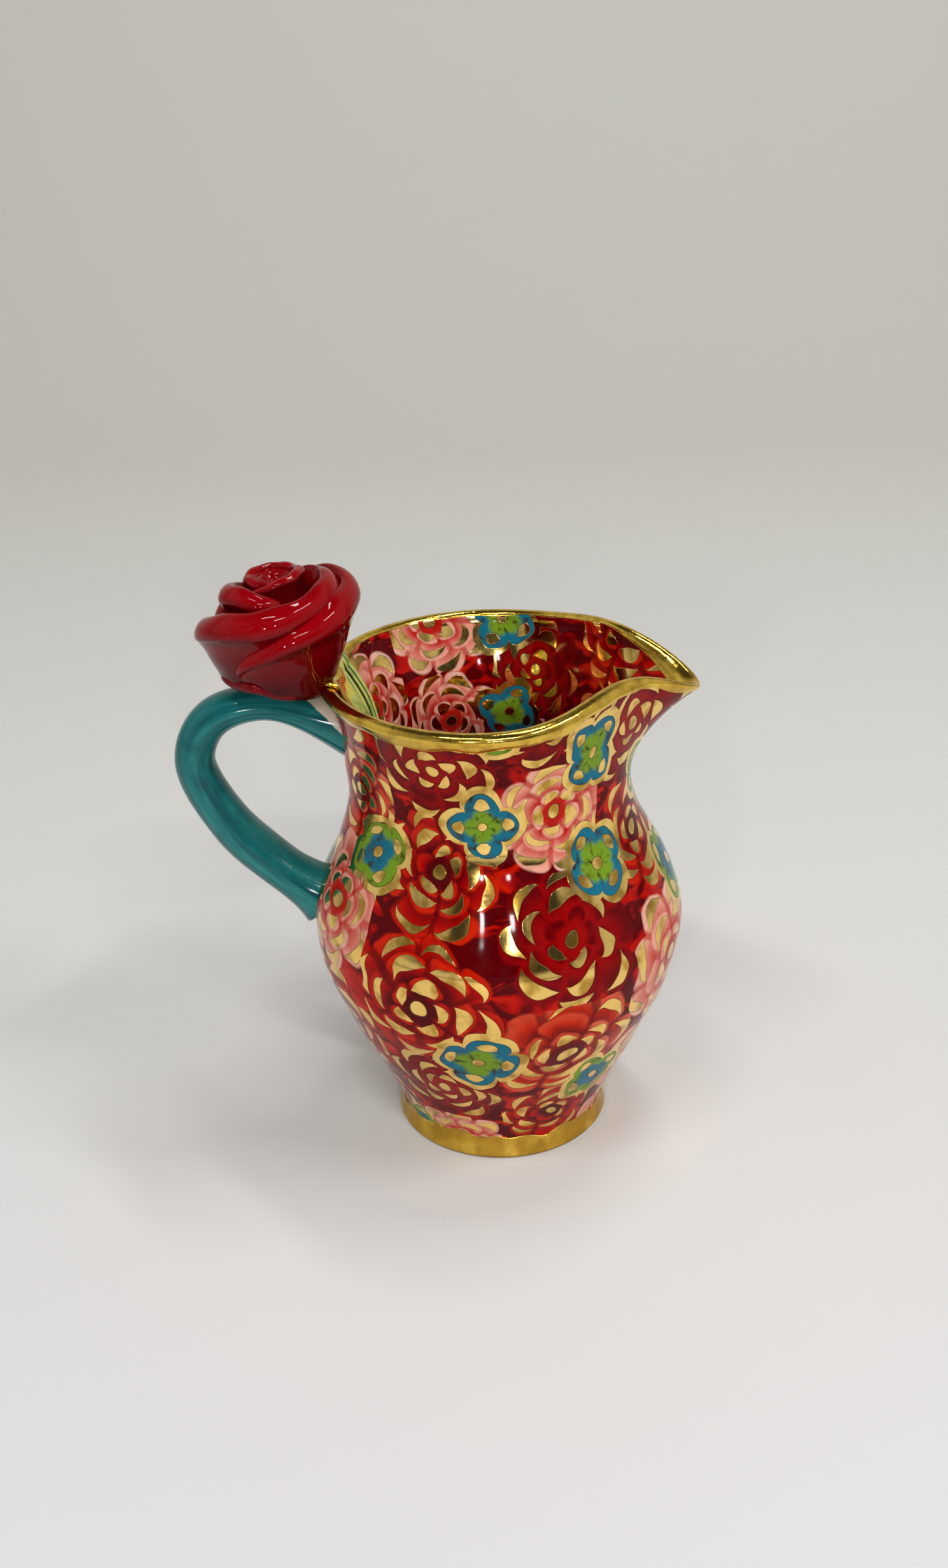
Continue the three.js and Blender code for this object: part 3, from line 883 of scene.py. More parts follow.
    def _rosette(self, recipe: Recipe, cell: Cell, paint: Paint) -> tuple[bpy.types.NodeSocket, Value]:
        """Lays rings of petals over the ground.

        Args:
            recipe: The material in work.
            cell: The place in the rosette's cell.
            paint: The ground.

        Returns:
            The paint, and the gold that goes on it.
        """
        pick = cell.chances[2]
        red, shade, light = (
            self._pick(recipe, pick, colors) for colors in (self.reds, self.shades, self.lights)
        )
        brush = self._brush(recipe, cell, self.rosette_run, self.rosette_brush, 3)
        gold = 0.0
        for ring in self.rosette_rings:
            petal = self._petal(recipe, cell, ring)
            tone = recipe.blend(recipe.ease(petal.place, *self.petal_red), shade, red)
            glow = self.light_least + (1 - self.light_least) * petal.luck
            tone = recipe.blend(recipe.ease(petal.place, *self.petal_light) * glow, tone, light)
            parting = self.parting_share * recipe.ease(petal.lobe, *self.petal_parting)
            tone = recipe.blend(parting.most(self.brush_share * (brush - 0.5)), tone, shade)
            paint = recipe.blend(petal.inside, paint, tone)
            gold = self._crescent(recipe, petal, ring).most((1 - petal.inside) * gold)
        return paint, gold.most(recipe.ease(cell.radius, *self.rosette_eye))

    def _flower(
        self, recipe: Recipe, cell: Cell, paint: Paint, gold: Value
    ) -> tuple[bpy.types.NodeSocket, Value]:
        """Lays a four-lobed flower, teal or green, over the edges of the rosettes around it.

        Args:
            recipe: The material in work.
            cell: The place in the flower's cell.
            paint: What is painted already.
            gold: The gold that is on it already.

        Returns:
            The paint and the gold.
        """
        petal = self._petal(recipe, cell, self.flower_ring)
        grown = cell.chances[0] > self.flower_missing
        shown = petal.inside * grown
        swap = cell.chances[1] > 0.5
        outer = recipe.blend(swap, self.teal, self.green)
        inner = recipe.blend(swap, self.green, self.teal)
        brush = self._brush(recipe, cell, self.flower_run, self.flower_brush, 2)
        tone = recipe.blend(recipe.ease(petal.place, *self.flower_core), outer, inner)
        tone = recipe.blend(self.flower_shade * recipe.ease(brush, *self.flower_shaded), tone, self.edge)
        paint = recipe.blend(shown, paint, tone)
        outline = self.outline - abs(petal.place - self.flower_ring.gold)
        seeds = self.seed_width * (petal.lobe - self.seed_start) - abs(petal.place - self.seed_place)
        drawn = recipe.ease(outline, *self.flower_soft).most(recipe.ease(seeds, *self.flower_soft))
        heart = recipe.ease(cell.radius, *self.flower_heart)
        mine = drawn.most(heart) * grown
        return paint, mine.most((1 - shown) * gold)

    def _fire(self, recipe: Recipe, paint: Paint, gold: Value) -> bpy.types.Material:
        """Fires paint and gold under a clear gloss.

        Args:
            recipe: The material in work.
            paint: The painted colours.
            gold: 1 where gold lies on them.

        Returns:
            The material.
        """
        leaf, rough, height = self.gold.coat(recipe)
        x, y, z = recipe.place()
        bare = recipe.ease(z, *self.bare_foot)
        plain = recipe.ease(x.length_with(y), self.plain_radius, self.plain_radius - self.plain_edge)
        gold = gold * (1 - plain)
        paint = recipe.blend(plain, paint, self.reds[0])
        wash = recipe.noise(self.wash, 3)
        paint = recipe.blend(self.wash_share * recipe.ease(wash, *self.wash_dark), paint, self.shades[0])
        color = recipe.blend(gold, paint, leaf)
        color = recipe.blend(bare, color, self.cream)
        metal = gold * (1 - bare)
        gloss = self.roughness + self.wash_dull * wash + self.bare_dull * bare
        ripple = self.ripple_share * recipe.noise(self.ripple_width, 1)
        raised = self.gold_rise * gold + self.gold_relief * gold * height
        relief = recipe.bump(ripple + raised, self.ripple, self.relief)
        roughness = gloss + metal * (rough - gloss)
        return recipe.done(Base_Color=color, Metallic=metal, Roughness=roughness, Normal=relief)


@dataclass(frozen=True)
class TealGlaze:
    """Deep teal, brushed along the handle under a clear gloss, with bare clay at its root."""

    deep: Color = (0.004, 0.066, 0.075)
    teal: Color = (0.009, 0.145, 0.148)
    pale: Color = (0.028, 0.23, 0.215)
    cream: Color = (0.72, 0.66, 0.52)
    sheen: float = 0.25
    roughness: float = 0.06
    streak: float = 0.5
    streak_round: float = 0.8
    streak_run: float = 2.0
    streak_stir: float = 0.4
    streak_stops: Shares = (0.3, 0.5, 0.72)
    streak_relief: float = 0.4
    pool: float = 5 * MM
    pool_deep: Span = (0.5, 0.75)
    pool_share: float = 0.5
    pool_dull: float = 0.08
    ripple_width: float = 7 * MM
    ripple: float = 0.12 * MM
    relief: float = 0.5
    bare_until: float = 0.15
    bare_slant: float = 0.12
    bare_soft: float = 0.008
    ragged: float = 0.02
    ragged_width: float = 2.5 * MM

    def material(self) -> bpy.types.Material:
        """The finish of the handle.

        Returns:
            The material.
        """
        recipe = Recipe("teal_glaze", Specular_IOR_Level=self.sheen)
        along, around = recipe.mark("along"), recipe.mark("around")
        turn = around * (math.pi / 2)
        ring = (turn.sin() * self.streak_round, (turn + math.pi / 2).sin() * self.streak_round)
        spot = recipe.vector(*ring, along * self.streak_run)
        streaks = recipe.noise(self.streak, 4, spot, self.streak_stir)
        color = recipe.ramp(streaks, list(zip(self.streak_stops, (self.deep, self.teal, self.pale))))
        pool = recipe.noise(self.pool, 2)
        color = recipe.blend(self.pool_share * recipe.ease(pool, *self.pool_deep), color, self.deep)
        ragged = self.ragged * (recipe.noise(self.ragged_width, 2) - 0.5)
        end = along + self.bare_slant * (2 - abs(around)) + ragged
        bare = recipe.ease(end, self.bare_until, self.bare_until - self.bare_soft)
        color = recipe.blend(bare, color, self.cream)
        ripple = (1 - self.streak_relief) * recipe.noise(self.ripple_width, 1)
        relief = recipe.bump(ripple + self.streak_relief * streaks, self.ripple, self.relief)
        roughness = self.roughness + self.pool_dull * pool
        return recipe.done(Base_Color=color, Roughness=roughness, Normal=relief)


@dataclass(frozen=True)
class LeafGlaze:
    """A thin yellow-green wash that runs dark into the engraved veins, with a dab of gold at the root."""

    green: Color = (0.2, 0.36, 0.05)
    pale: Color = (0.58, 0.66, 0.18)
    yellow: Color = (0.72, 0.66, 0.1)
    dark: Color = (0.008, 0.02, 0.01)
    roughness: float = 0.05
    wash: float = 5 * MM
    wash_stir: float = 0.5
    wash_stops: Shares = (0.34, 0.48, 0.66)
    wash_dull: float = 0.06
    stain: float = 1.5 * MM
    stain_from: Span = (0.2, 0.6)
    stain_loose: float = 0.3
    dab_reach: Span = (0.27, 0.23)
    dab_slant: float = 0.16
    dab_loose: float = 0.3
    dab_width: float = 4 * MM
    dab_relief: float = 0.5
    ripple_width: float = 2 * MM
    ripple: float = 0.15 * MM
    relief: float = 0.5
    gold: GoldLustre = GoldLustre()

    def material(self) -> bpy.types.Material:
        """The finish of the leaf.

        Returns:
            The material.
        """
        recipe = Recipe("leaf_glaze")
        wash = recipe.noise(self.wash, 3, warp=self.wash_stir)
        color = recipe.ramp(wash, list(zip(self.wash_stops, (self.green, self.pale, self.yellow))))
        groove = recipe.mark("groove") + self.stain_loose * (recipe.noise(self.stain, 2) - 0.5)
        color = recipe.blend(recipe.ease(groove, *self.stain_from), color, self.dark)
        leaf, rough, height = self.gold.coat(recipe)
        loose = self.dab_loose * (recipe.noise(self.dab_width, 3) - 0.5)
        reach = recipe.mark("down") + self.dab_slant * (1 - recipe.mark("side")) + loose
        dab = recipe.ease(reach, *self.dab_reach)
        color = recipe.blend(dab, color, leaf)
        gloss = self.roughness + self.wash_dull * wash
        roughness = gloss + dab * (rough - gloss)
        ripple = recipe.noise(self.ripple_width, 2)
        relief = recipe.bump(ripple + self.dab_relief * dab * height, self.ripple, self.relief)
        return recipe.done(Base_Color=color, Metallic=dab, Roughness=roughness, Normal=relief)


@dataclass(frozen=True)
class RoseGlaze:
    """Thick red gloss, bright where it thins over a rolled edge and dark where it pools, with painted light
    on the rolls' tops and painted shade under them and down the sheets.
    """

    # bright, deep and pool follow the rise mark: partly thin and pooled glaze, partly painted light on the
    # rolls' tops and painted shade under the rolls and down the sheets
    bright: Color = (0.27, 0.0005, 0.003)
    deep: Color = (0.15, 0.0004, 0.0025)
    pool: Color = (0.06, 0.0002, 0.001)
    sheen: float = 0.16
    roughness: float = 0.025
    glaze_and_shade_stops: Shares = (0.05, 0.5, 0.98)
    cloud: float = 5 * MM
    cloud_share: float = 0.35
    cloud_dull: float = 0.025
    swell: float = 4 * MM
    dimple: float = 1.8 * MM
    dimple_relief: float = 0.2
    ripple: float = 0.2 * MM
    relief: float = 0.3

    def material(self) -> bpy.types.Material:
        """The finish of the rose.

        Returns:
            The material.
        """
        recipe = Recipe("rose_glaze", Specular_IOR_Level=self.sheen)
        clouds = recipe.noise(self.cloud, 3)
        # rise carries painted light and shade as well as the glaze's thickness
        rise = recipe.mark("rise") + self.cloud_share * (clouds - 0.5)
        color = recipe.ramp(rise, list(zip(self.glaze_and_shade_stops, (self.pool, self.deep, self.bright))))
        swell = (1 - self.dimple_relief) * recipe.noise(self.swell, 1.5)
        dimples = self.dimple_relief * recipe.noise(self.dimple, 1)
        relief = recipe.bump(swell + dimples, self.ripple, self.relief)
        roughness = self.roughness + self.cloud_dull * clouds
        return recipe.done(Base_Color=color, Roughness=roughness, Normal=relief)


# Pieces


@dataclass
class ThrownBody:
    """The jug's thrown body, with the spout pulled out of its rim."""

    foot_radius: float = 21.9 * MM
    foot_bevel: float = 0.8 * MM
    foot_band_low: float = 0.9 * MM
    waist: Place = (5.4 * MM, 21.4 * MM, 0.36)
    belly_radius: float = 37.4 * MM
    belly_height: float = 48 * MM
    neck_radius: float = 27 * MM
    neck_height: float = 78 * MM
    rim_radius: float = 31.1 * MM
    rim_height: float = 100 * MM
    rim_flare: float = 0.52
    wall: float = 3.7 * MM
    lip: float = 2.8 * MM
    floor: float = 5 * MM
    floor_fillet: float = 9 * MM
    lean: float = 1 * MM
    spout_reach: float = 9 * MM
    spout_spread: float = 16.5
    spout_drop: float = 4.8 * MM
    spout_drop_spread: float = 14
    pinch_depth: float = 2.8 * MM
    pinch_angle: float = 45
    pinch_spread: float = 28
    shoulder_rise: float = 3 * MM
    shoulder_angle: float = 33
    shoulder_spread: float = 30
    spout_ease: float = 1.6
    lute_depth: float = 2 * MM
    lute_below_rim: float = 20.5 * MM
    lute_reach: float = 11 * MM
    lute_angle: float = 180
    lute_spread: float = 26
    ridge: float = 0.12 * MM
    ridge_pitch: float = 2.3 * MM
    ridge_radii: Span = (2 * MM, 18 * MM)
    ridge_heights: Span = (8 * MM, 20 * MM)
    sway: float = 0.003
    sway_waves: Waves = (2, 3)
    sway_seed: int = 5
    pole: float = 0.4 * MM
    least_row: float = 6 * MM
    around: int = 320
    under_steps: int = 12
    bevel_steps: int = 7
    wall_steps: int = 150
    round_steps: int = 20
    inside_steps: int = 110
    floor_steps: int = 8

    @property
    def lip_round(self) -> float:
        """Radius of the lip's round."""
        return self.lip / 2

    @property
    def lip_base(self) -> float:
        """Height where the lip's round starts."""
        return self.rim_height - self.lip_round

    def outer(self, height: Points) -> Points:
        """The outer wall, before the spout is pulled.

        Args:
            height: Heights above the foot.

        Returns:
            The wall's radius there.
        """
        knots = [
            (0.0, self.foot_radius, 0.0),
            self.waist,
            (self.belly_height, self.belly_radius, 0.0),
            (self.neck_height, self.neck_radius, 0.0),
            (self.lip_base, self.rim_radius + self.lip_round, self.rim_flare),
        ]
        return cubic(knots, np.asarray(height, float))

    def inner(self, height: Points) -> Points:
        """The inner wall, with the floor turned up into it.

        Args:
            height: Heights above the foot.

        Returns:
            The wall's radius there.
        """
        rise = np.clip((height - self.floor) / self.floor_fillet, 0, 1)
        fillet = self.floor_fillet * (1 - np.sqrt(1 - (1 - rise) ** 2))
        share = smoothstep(height, self.neck_height, self.lip_base)
        return self.outer(height) - (self.wall + (self.lip - self.wall) * share) - fillet

    def luted(self, points: Points) -> Points:
        """Adds the clay that is smoothed from the handle onto the outside of the neck.

        Args:
            points: Turned points.

        Returns:
            The points, moved outwards near the handle's upper joint.
        """
        x, y, z = np.moveaxis(points, -1, 0)
        radius = np.maximum(np.hypot(x, y), TINY)
        angle = np.degrees(np.abs(np.arctan2(y, x)))
        level = bell(z, self.rim_height - self.lute_below_rim, self.lute_reach)
        outside = radius > (self.outer(z) + self.inner(z)) / 2
        lute = self.lute_depth * bell(angle, self.lute_angle, self.lute_spread) * level
        grown = 1 + outside * lute / radius
        return np.stack([x * grown, y * grown, z], axis=-1)

    def leaned(self, points: Points) -> Points:
        """Leans the neck towards the handle.

        Args:
            points: Upright points.

        Returns:
            The points, moved.
        """
        span = self.rim_height - self.belly_height
        moved = points.copy()
        moved[..., 0] -= self.lean * np.clip((points[..., 2] - self.belly_height) / span, 0, 1) ** 2
        return moved

    def pulled(self, points: Points) -> Points:
        """Pulls the spout out of the rim, then leans the neck.

        Args:
            points: Turned points.

        Returns:
            The points, moved.
        """
        x, y, z = np.moveaxis(points, -1, 0)
        angle = np.degrees(np.abs(np.arctan2(y, x)))
        span = self.rim_height - self.neck_height
        share = np.clip((z - self.neck_height) / span, 0, 1) ** self.spout_ease
        radius = np.maximum(np.hypot(x, y), TINY)
        pinch = self.pinch_depth * bell(angle, self.pinch_angle, self.pinch_spread)
        out = self.spout_reach * bell(angle, 0, self.spout_spread) - pinch
        up = self.shoulder_rise * bell(angle, self.shoulder_angle, self.shoulder_spread)
        down = self.spout_drop * bell(angle, 0, self.spout_drop_spread)
        grown = (radius + share * out) / radius
        return self.leaned(np.stack([x * grown, y * grown, z + share * (up - down)], axis=-1))

    def turned(self, profile: Points) -> Points:
        """Turns a profile round the axis, with the ridges that a thrower's fingers leave.

        Args:
            profile: Radius and height, of shape rows, 2, or rows, around, 2 where they vary round the jug.

        Returns:
            Points of shape rows, around, 3.
        """
        angle = self.angles()
        if profile.ndim == 2:
            profile = np.repeat(profile[:, None, :], self.around, axis=1)
        radius, height = profile[..., 0], profile[..., 1]
        ridge = self.ridge * np.sin(height / self.ridge_pitch + angle)
        ridge *= smoothstep(radius, *self.ridge_radii) * smoothstep(height, *self.ridge_heights)
        ridge *= smoothstep(height, self.lip_base, self.neck_height)
        sway = self.sway * waves(angle, self.sway_seed, self.sway_waves)
        radius = (radius + ridge) * (1 + sway * smoothstep(height, 0, self.belly_height))
        points = np.stack([radius * np.cos(angle), radius * np.sin(angle), height], axis=-1)
        return self.pulled(self.luted(points))

    def angles(self) -> Points:
        """Angles round the jug, once each."""
        return np.linspace(-math.pi, math.pi, self.around, endpoint=False)

    def profile(self) -> Points:
        """The body's section, from the middle of the foot, over the lip, to the middle of the floor.

        Returns:
            Radius and height, one a row.
        """
        low = self.foot_band_low
        quarter = np.linspace(0, math.pi / 2, self.bevel_steps)[1:]
        under = np.linspace(self.pole, self.foot_radius - self.foot_bevel, self.under_steps)
        bevel = under[-1] + (self.outer(low) - under[-1]) * np.sin(quarter)
        outside = np.linspace(low, self.lip_base, self.wall_steps)[1:]
        crest = np.linspace(0, math.pi, self.round_steps)[1:]
        crest_radius = self.rim_radius + self.lip_round * np.cos(crest)
        inside = np.linspace(self.lip_base, self.floor + self.floor_fillet, self.inside_steps)[1:]
        turn = np.linspace(0, math.pi / 2, self.round_steps)[1:]
        fillet = self.floor + self.floor_fillet * (1 - np.sin(turn))
        flat = np.linspace(self.inner(np.array(self.floor)), self.pole, self.floor_steps)[1:]
        rows = [
            (under, 0 * under),
            (bevel, low * (1 - np.cos(quarter))),
            (self.outer(outside), outside),
            (crest_radius, self.lip_base + self.lip_round * np.sin(crest)),
            (self.inner(inside), inside),
            (self.inner(fillet), fillet),
            (flat, self.floor + 0 * flat),
        ]
        return np.concatenate([np.stack(row, axis=-1) for row in rows])

    def build(self, finish: PaintedGlaze) -> None:
        """Builds the body and dresses it.

        Args:
            finish: Its glaze, which also sets the rows of the painted lattice.
        """
        profile = self.profile()
        step = np.linalg.norm(np.diff(profile, axis=0), axis=1)
        middle = (profile[1:, 0] + profile[:-1, 0]) / 2
        row = np.concatenate([[0], np.cumsum(step / np.maximum(middle, self.least_row))])
        row *= finish.columns / (2 * math.pi)
        marks = {"paint_row": np.repeat(row[:, None], self.around, axis=1)}
        piece = loft("painted_body", self.turned(profile), marks)
        settle(piece, "jug_body", Slot.PAINTED, finish.material())


@dataclass
class Gilding:
    """A film of gold on the rim and one on the foot, with the wavering edges of a brush."""

    body: ThrownBody
    lift: float = 0.03 * MM
    film: float = 0.16 * MM
    feather: int = 6
    rim_outside: float = 2 * MM
    spout_less: float = 1.7 * MM
    spout_span: float = 1.15
    rim_inside: float = -0.9 * MM
    spout_inside: float = 2.4 * MM
    spout_inside_span: float = 0.3
    foot_low: float = 0.35 * MM
    foot_high: float = 5 * MM
    waver_rim: float = 0.45 * MM
    rim_waves: Waves = (3, 7, 13, 22)
    rim_seed: int = 11
    waver_inside: float = 0.18 * MM
    inside_waves: Waves = (4, 9, 17)
    inside_seed: int = 12
    waver_foot: float = 0.72 * MM
    foot_waves: Waves = (2, 5, 11, 19)
    foot_seed: int = 13
    steps: int = 40

    def build(self, finish: GoldLustre) -> None:
        """Builds both films and dresses them.

        Args:
            finish: Their gold.
        """
        gold = finish.material()
        settle(self._film("gold_rim", self._rim), "rim_gilding", Slot.GOLD, gold)
        settle(self._film("gold_foot", self._foot), "foot_gilding", Slot.GOLD, gold)

    def _film(self, name: str, band: Callable[[Points, Points, Points], Points]) -> bpy.types.Object:
        """A thin closed band.

        Args:
            name: The piece's name.
            band: Gives the profile for shares along the band, angles and an offset from the clay.

        Returns:
            The piece.
        """
        share = np.linspace(0, 1, self.steps)[:, None]
        angle = self.body.angles()[None, :]
        thick = self.film * (1 - np.abs(2 * share - 1) ** self.feather) + 0 * angle
        over = band(share, angle, self.lift + thick)
        under = band(share, angle, self.lift + 0 * thick)[::-1]
        return loft_round(name, self.body.turned(np.concatenate([over, under])))

    def _rim(self, share: Points, angle: Points, offset: Points) -> Points:
        """The lip's profile, from the band's edge outside to its edge inside.

        Args:
            share: Places along the band, from 0 to 1.
            angle: Angles round the jug.
            offset: How far the profile lies off the clay.

        Returns:
            Radius and height.
        """
        body = self.body
        outside = self.rim_outside + self.waver_rim * waves(angle, self.rim_seed, self.rim_waves)
        outside = outside - self.spout_less * bell(angle, 0, self.spout_span)
        inside = self.rim_inside + self.waver_inside * waves(angle, self.inside_seed, self.inside_waves)
        inside = inside + self.spout_inside * bell(angle, 0, self.spout_inside_span)
        arc = math.pi * body.lip_round
        along = share * (outside + arc + inside)
        bend = np.clip((along - outside) / arc, 0, 1) * math.pi
        height = body.lip_base - np.maximum(outside - along, 0) - np.maximum(along - outside - arc, 0)
        over = (bend > 0) & (bend < math.pi)
        round_out = body.rim_radius + (body.lip_round + offset) * np.cos(bend)
        wall = np.where(bend <= 0, body.outer(height) + offset, body.inner(height) - offset)
        radius = np.where(over, round_out, wall)
        height = np.where(over, body.lip_base + (body.lip_round + offset) * np.sin(bend), height)
        return np.stack([radius, height], axis=-1)

    def _foot(self, share: Points, angle: Points, offset: Points) -> Points:
        """The foot's profile, from the band's lower edge to its upper edge.

        Args:
            share: Places along the band, from 0 to 1.
            angle: Angles round the jug.
            offset: How far the profile lies off the clay.

        Returns:
            Radius and height.
        """
        top = self.foot_high + self.waver_foot * waves(angle, self.foot_seed, self.foot_waves)
        height = self.foot_low + share * (top - self.foot_low)
        low, edge = self.body.foot_band_low, self.body.foot_radius - self.body.foot_bevel
        turn = np.arccos(np.clip(1 - height / low, 0, 1))
        bevel = edge + (self.body.outer(np.array(low)) - edge) * np.sin(turn)
        radius = np.where(height < low, bevel, self.body.outer(height))
        return np.stack([radius + offset, height + 0 * radius], axis=-1)


@dataclass
class Handle:
    """The pulled handle, smoothed onto the neck and the belly.

    upper and lower give points of its midline, out from the wall and up from the joint.
    """

    body: ThrownBody
    below_rim: float = 11.2 * MM
    above_belly: float = 3 * MM
    upper: tuple[Pair, ...] = ((16 * MM, 5 * MM), (26 * MM, 1.8 * MM), (30.1 * MM, -6.8 * MM))
    lower: tuple[Pair, ...] = ((16 * MM, 17.2 * MM), (7.2 * MM, 7.4 * MM))
    width: float = 10.6 * MM
    thickness: float = 8 * MM
    thin: float = 0.8
    thin_at: float = 0.2
    even_at: float = 0.45
    full: float = 1.1
    full_at: float = 0.86
    spread_top: float = 1.7
    spread_low: float = 1.6
    flare_top: float = -8
    flare_low: float = 9
    facet: float = 0.012
    facets: int = 5
    facet_twist: float = 3
    uneven: float = 0.01
    uneven_run: float = 6
    uneven_waves: Waves = (2, 5)
    uneven_seed: int = 21
    fine_steps: int = 1500
    steps: int = 170
    sides: int = 48

    def midline(self, places: Points) -> Points:
        """The middle of the strap.

        Args:
            places: Places along it, evenly by length from 0 at the neck to 1 at the belly.

        Returns:
            One point a row.
        """
        top = self.body.rim_height - self.below_rim
        low = self.body.belly_height + self.above_belly
        neck, belly = (float(self.body.outer(np.array(z))) for z in (top, low))
        inset = self.body.wall / 2
        knots = [(neck - inset, top)]
        knots += [(neck + out, top + up) for out, up in self.upper]
        knots += [(belly + out, low + up) for out, up in self.lower]
        knots += [(belly - inset, low)]
        line = self.body.leaned(np.array([(-out, 0, z) for out, z in knots]))
        fine = spline(line, np.linspace(0, 1, self.fine_steps), centripetal=True)
        length = np.concatenate([[0], np.cumsum(np.linalg.norm(np.diff(fine, axis=0), axis=1))])
        return np.stack([np.interp(places, length / length[-1], fine[:, k]) for k in range(3)], axis=-1)

    def strap(self, places: Points) -> Points:
        """How full the strap is.

        Args:
            places: Places along the midline.

        Returns:
            The share of its full thickness there.
        """
        knots = [
            (0.0, self.spread_top, self.flare_top),
            (self.thin_at, self.thin, 0.0),
            (self.even_at, 1.0, 0.0),
            (self.full_at, self.full, 0.0),
            (1.0, self.spread_low, self.flare_low),
        ]
        return cubic(knots, places)

    def build(self, finish: TealGlaze) -> None:
        """Builds the handle and dresses it.

        Args:
            finish: Its glaze.
        """
        places = np.linspace(0, 1, self.steps)
        line = self.midline(places)
        along = np.gradient(line, axis=0)
        along /= np.linalg.norm(along, axis=1, keepdims=True)
        outward = np.stack([-along[:, 2], 0 * places, along[:, 0]], axis=-1)
        share = self.strap(places)
        turn = np.linspace(0, 2 * math.pi, self.sides, endpoint=False)
        ridge = 1 + self.facet * np.cos(self.facets * turn + self.facet_twist * places[:, None])
        uneven = self.uneven * waves(self.uneven_run * places, self.uneven_seed, self.uneven_waves)
        ridge = ridge + uneven[:, None]
        depth = (self.thickness / 2 * share)[:, None] * np.cos(turn) * ridge
        width = (self.width / 2 * np.sqrt(share))[:, None] * np.sin(turn) * ridge
        rings = line[:, None, :] + depth[..., None] * outward[:, None, :]
        rings[..., 1] += width
        around = (1 - np.cos(turn)) * np.sign(np.sin(turn) + TINY)
        marks = {
            "along": np.repeat(places[:, None], self.sides, axis=1),
            "around": np.repeat(around[None, :], self.steps, axis=0),
        }
        settle(loft("teal_handle", self._seated(rings), marks), "handle", Slot.TEAL, finish.material())

    def _seated(self, rings: Points) -> Points:
        """Keeps the ends inside the wall that they are luted to.

        Args:
            rings: Points of the strap.

        Returns:
            The points, with none nearer to the axis than the middle of the wall.
        """
        middle = self.body.outer(np.clip(rings[..., 2], 0, self.body.lip_base)) - self.body.wall / 2
        axis = np.zeros_like(rings)
        axis[..., 0] = self.body.leaned(rings)[..., 0] - rings[..., 0]
        radius = np.linalg.norm((rings - axis)[..., :2], axis=-1)
        grown = np.maximum(middle / np.maximum(radius, TINY), 1)[..., None]
        return axis + (rings - axis) * np.concatenate([grown, grown, np.ones_like(grown)], axis=-1)


@dataclass(frozen=True)
class Vein:
    """One engraved line of the leaf: where it lies from side to side, and from where to where it runs."""

    side: float
    width: float
    depth: float
    start: float
    end: float


VEINS = (
    Vein(-0.84, 0.05, 1, 0.02, 0.9),
    Vein(-0.6, 0.06, 1, 0.06, 1),
    Vein(-0.36, 0.045, 0.85, 0.12, 0.95),
    Vein(-0.04, 0.035, 0.6, 0.1, 0.9),
    Vein(0.16, 0.08, 0.95, 0.42, 0.66),
    Vein(0.38, 0.07, 0.85, 0.36, 0.6),
    Vein(0.7, 0.04, 0.6, 0.2, 0.8),
)


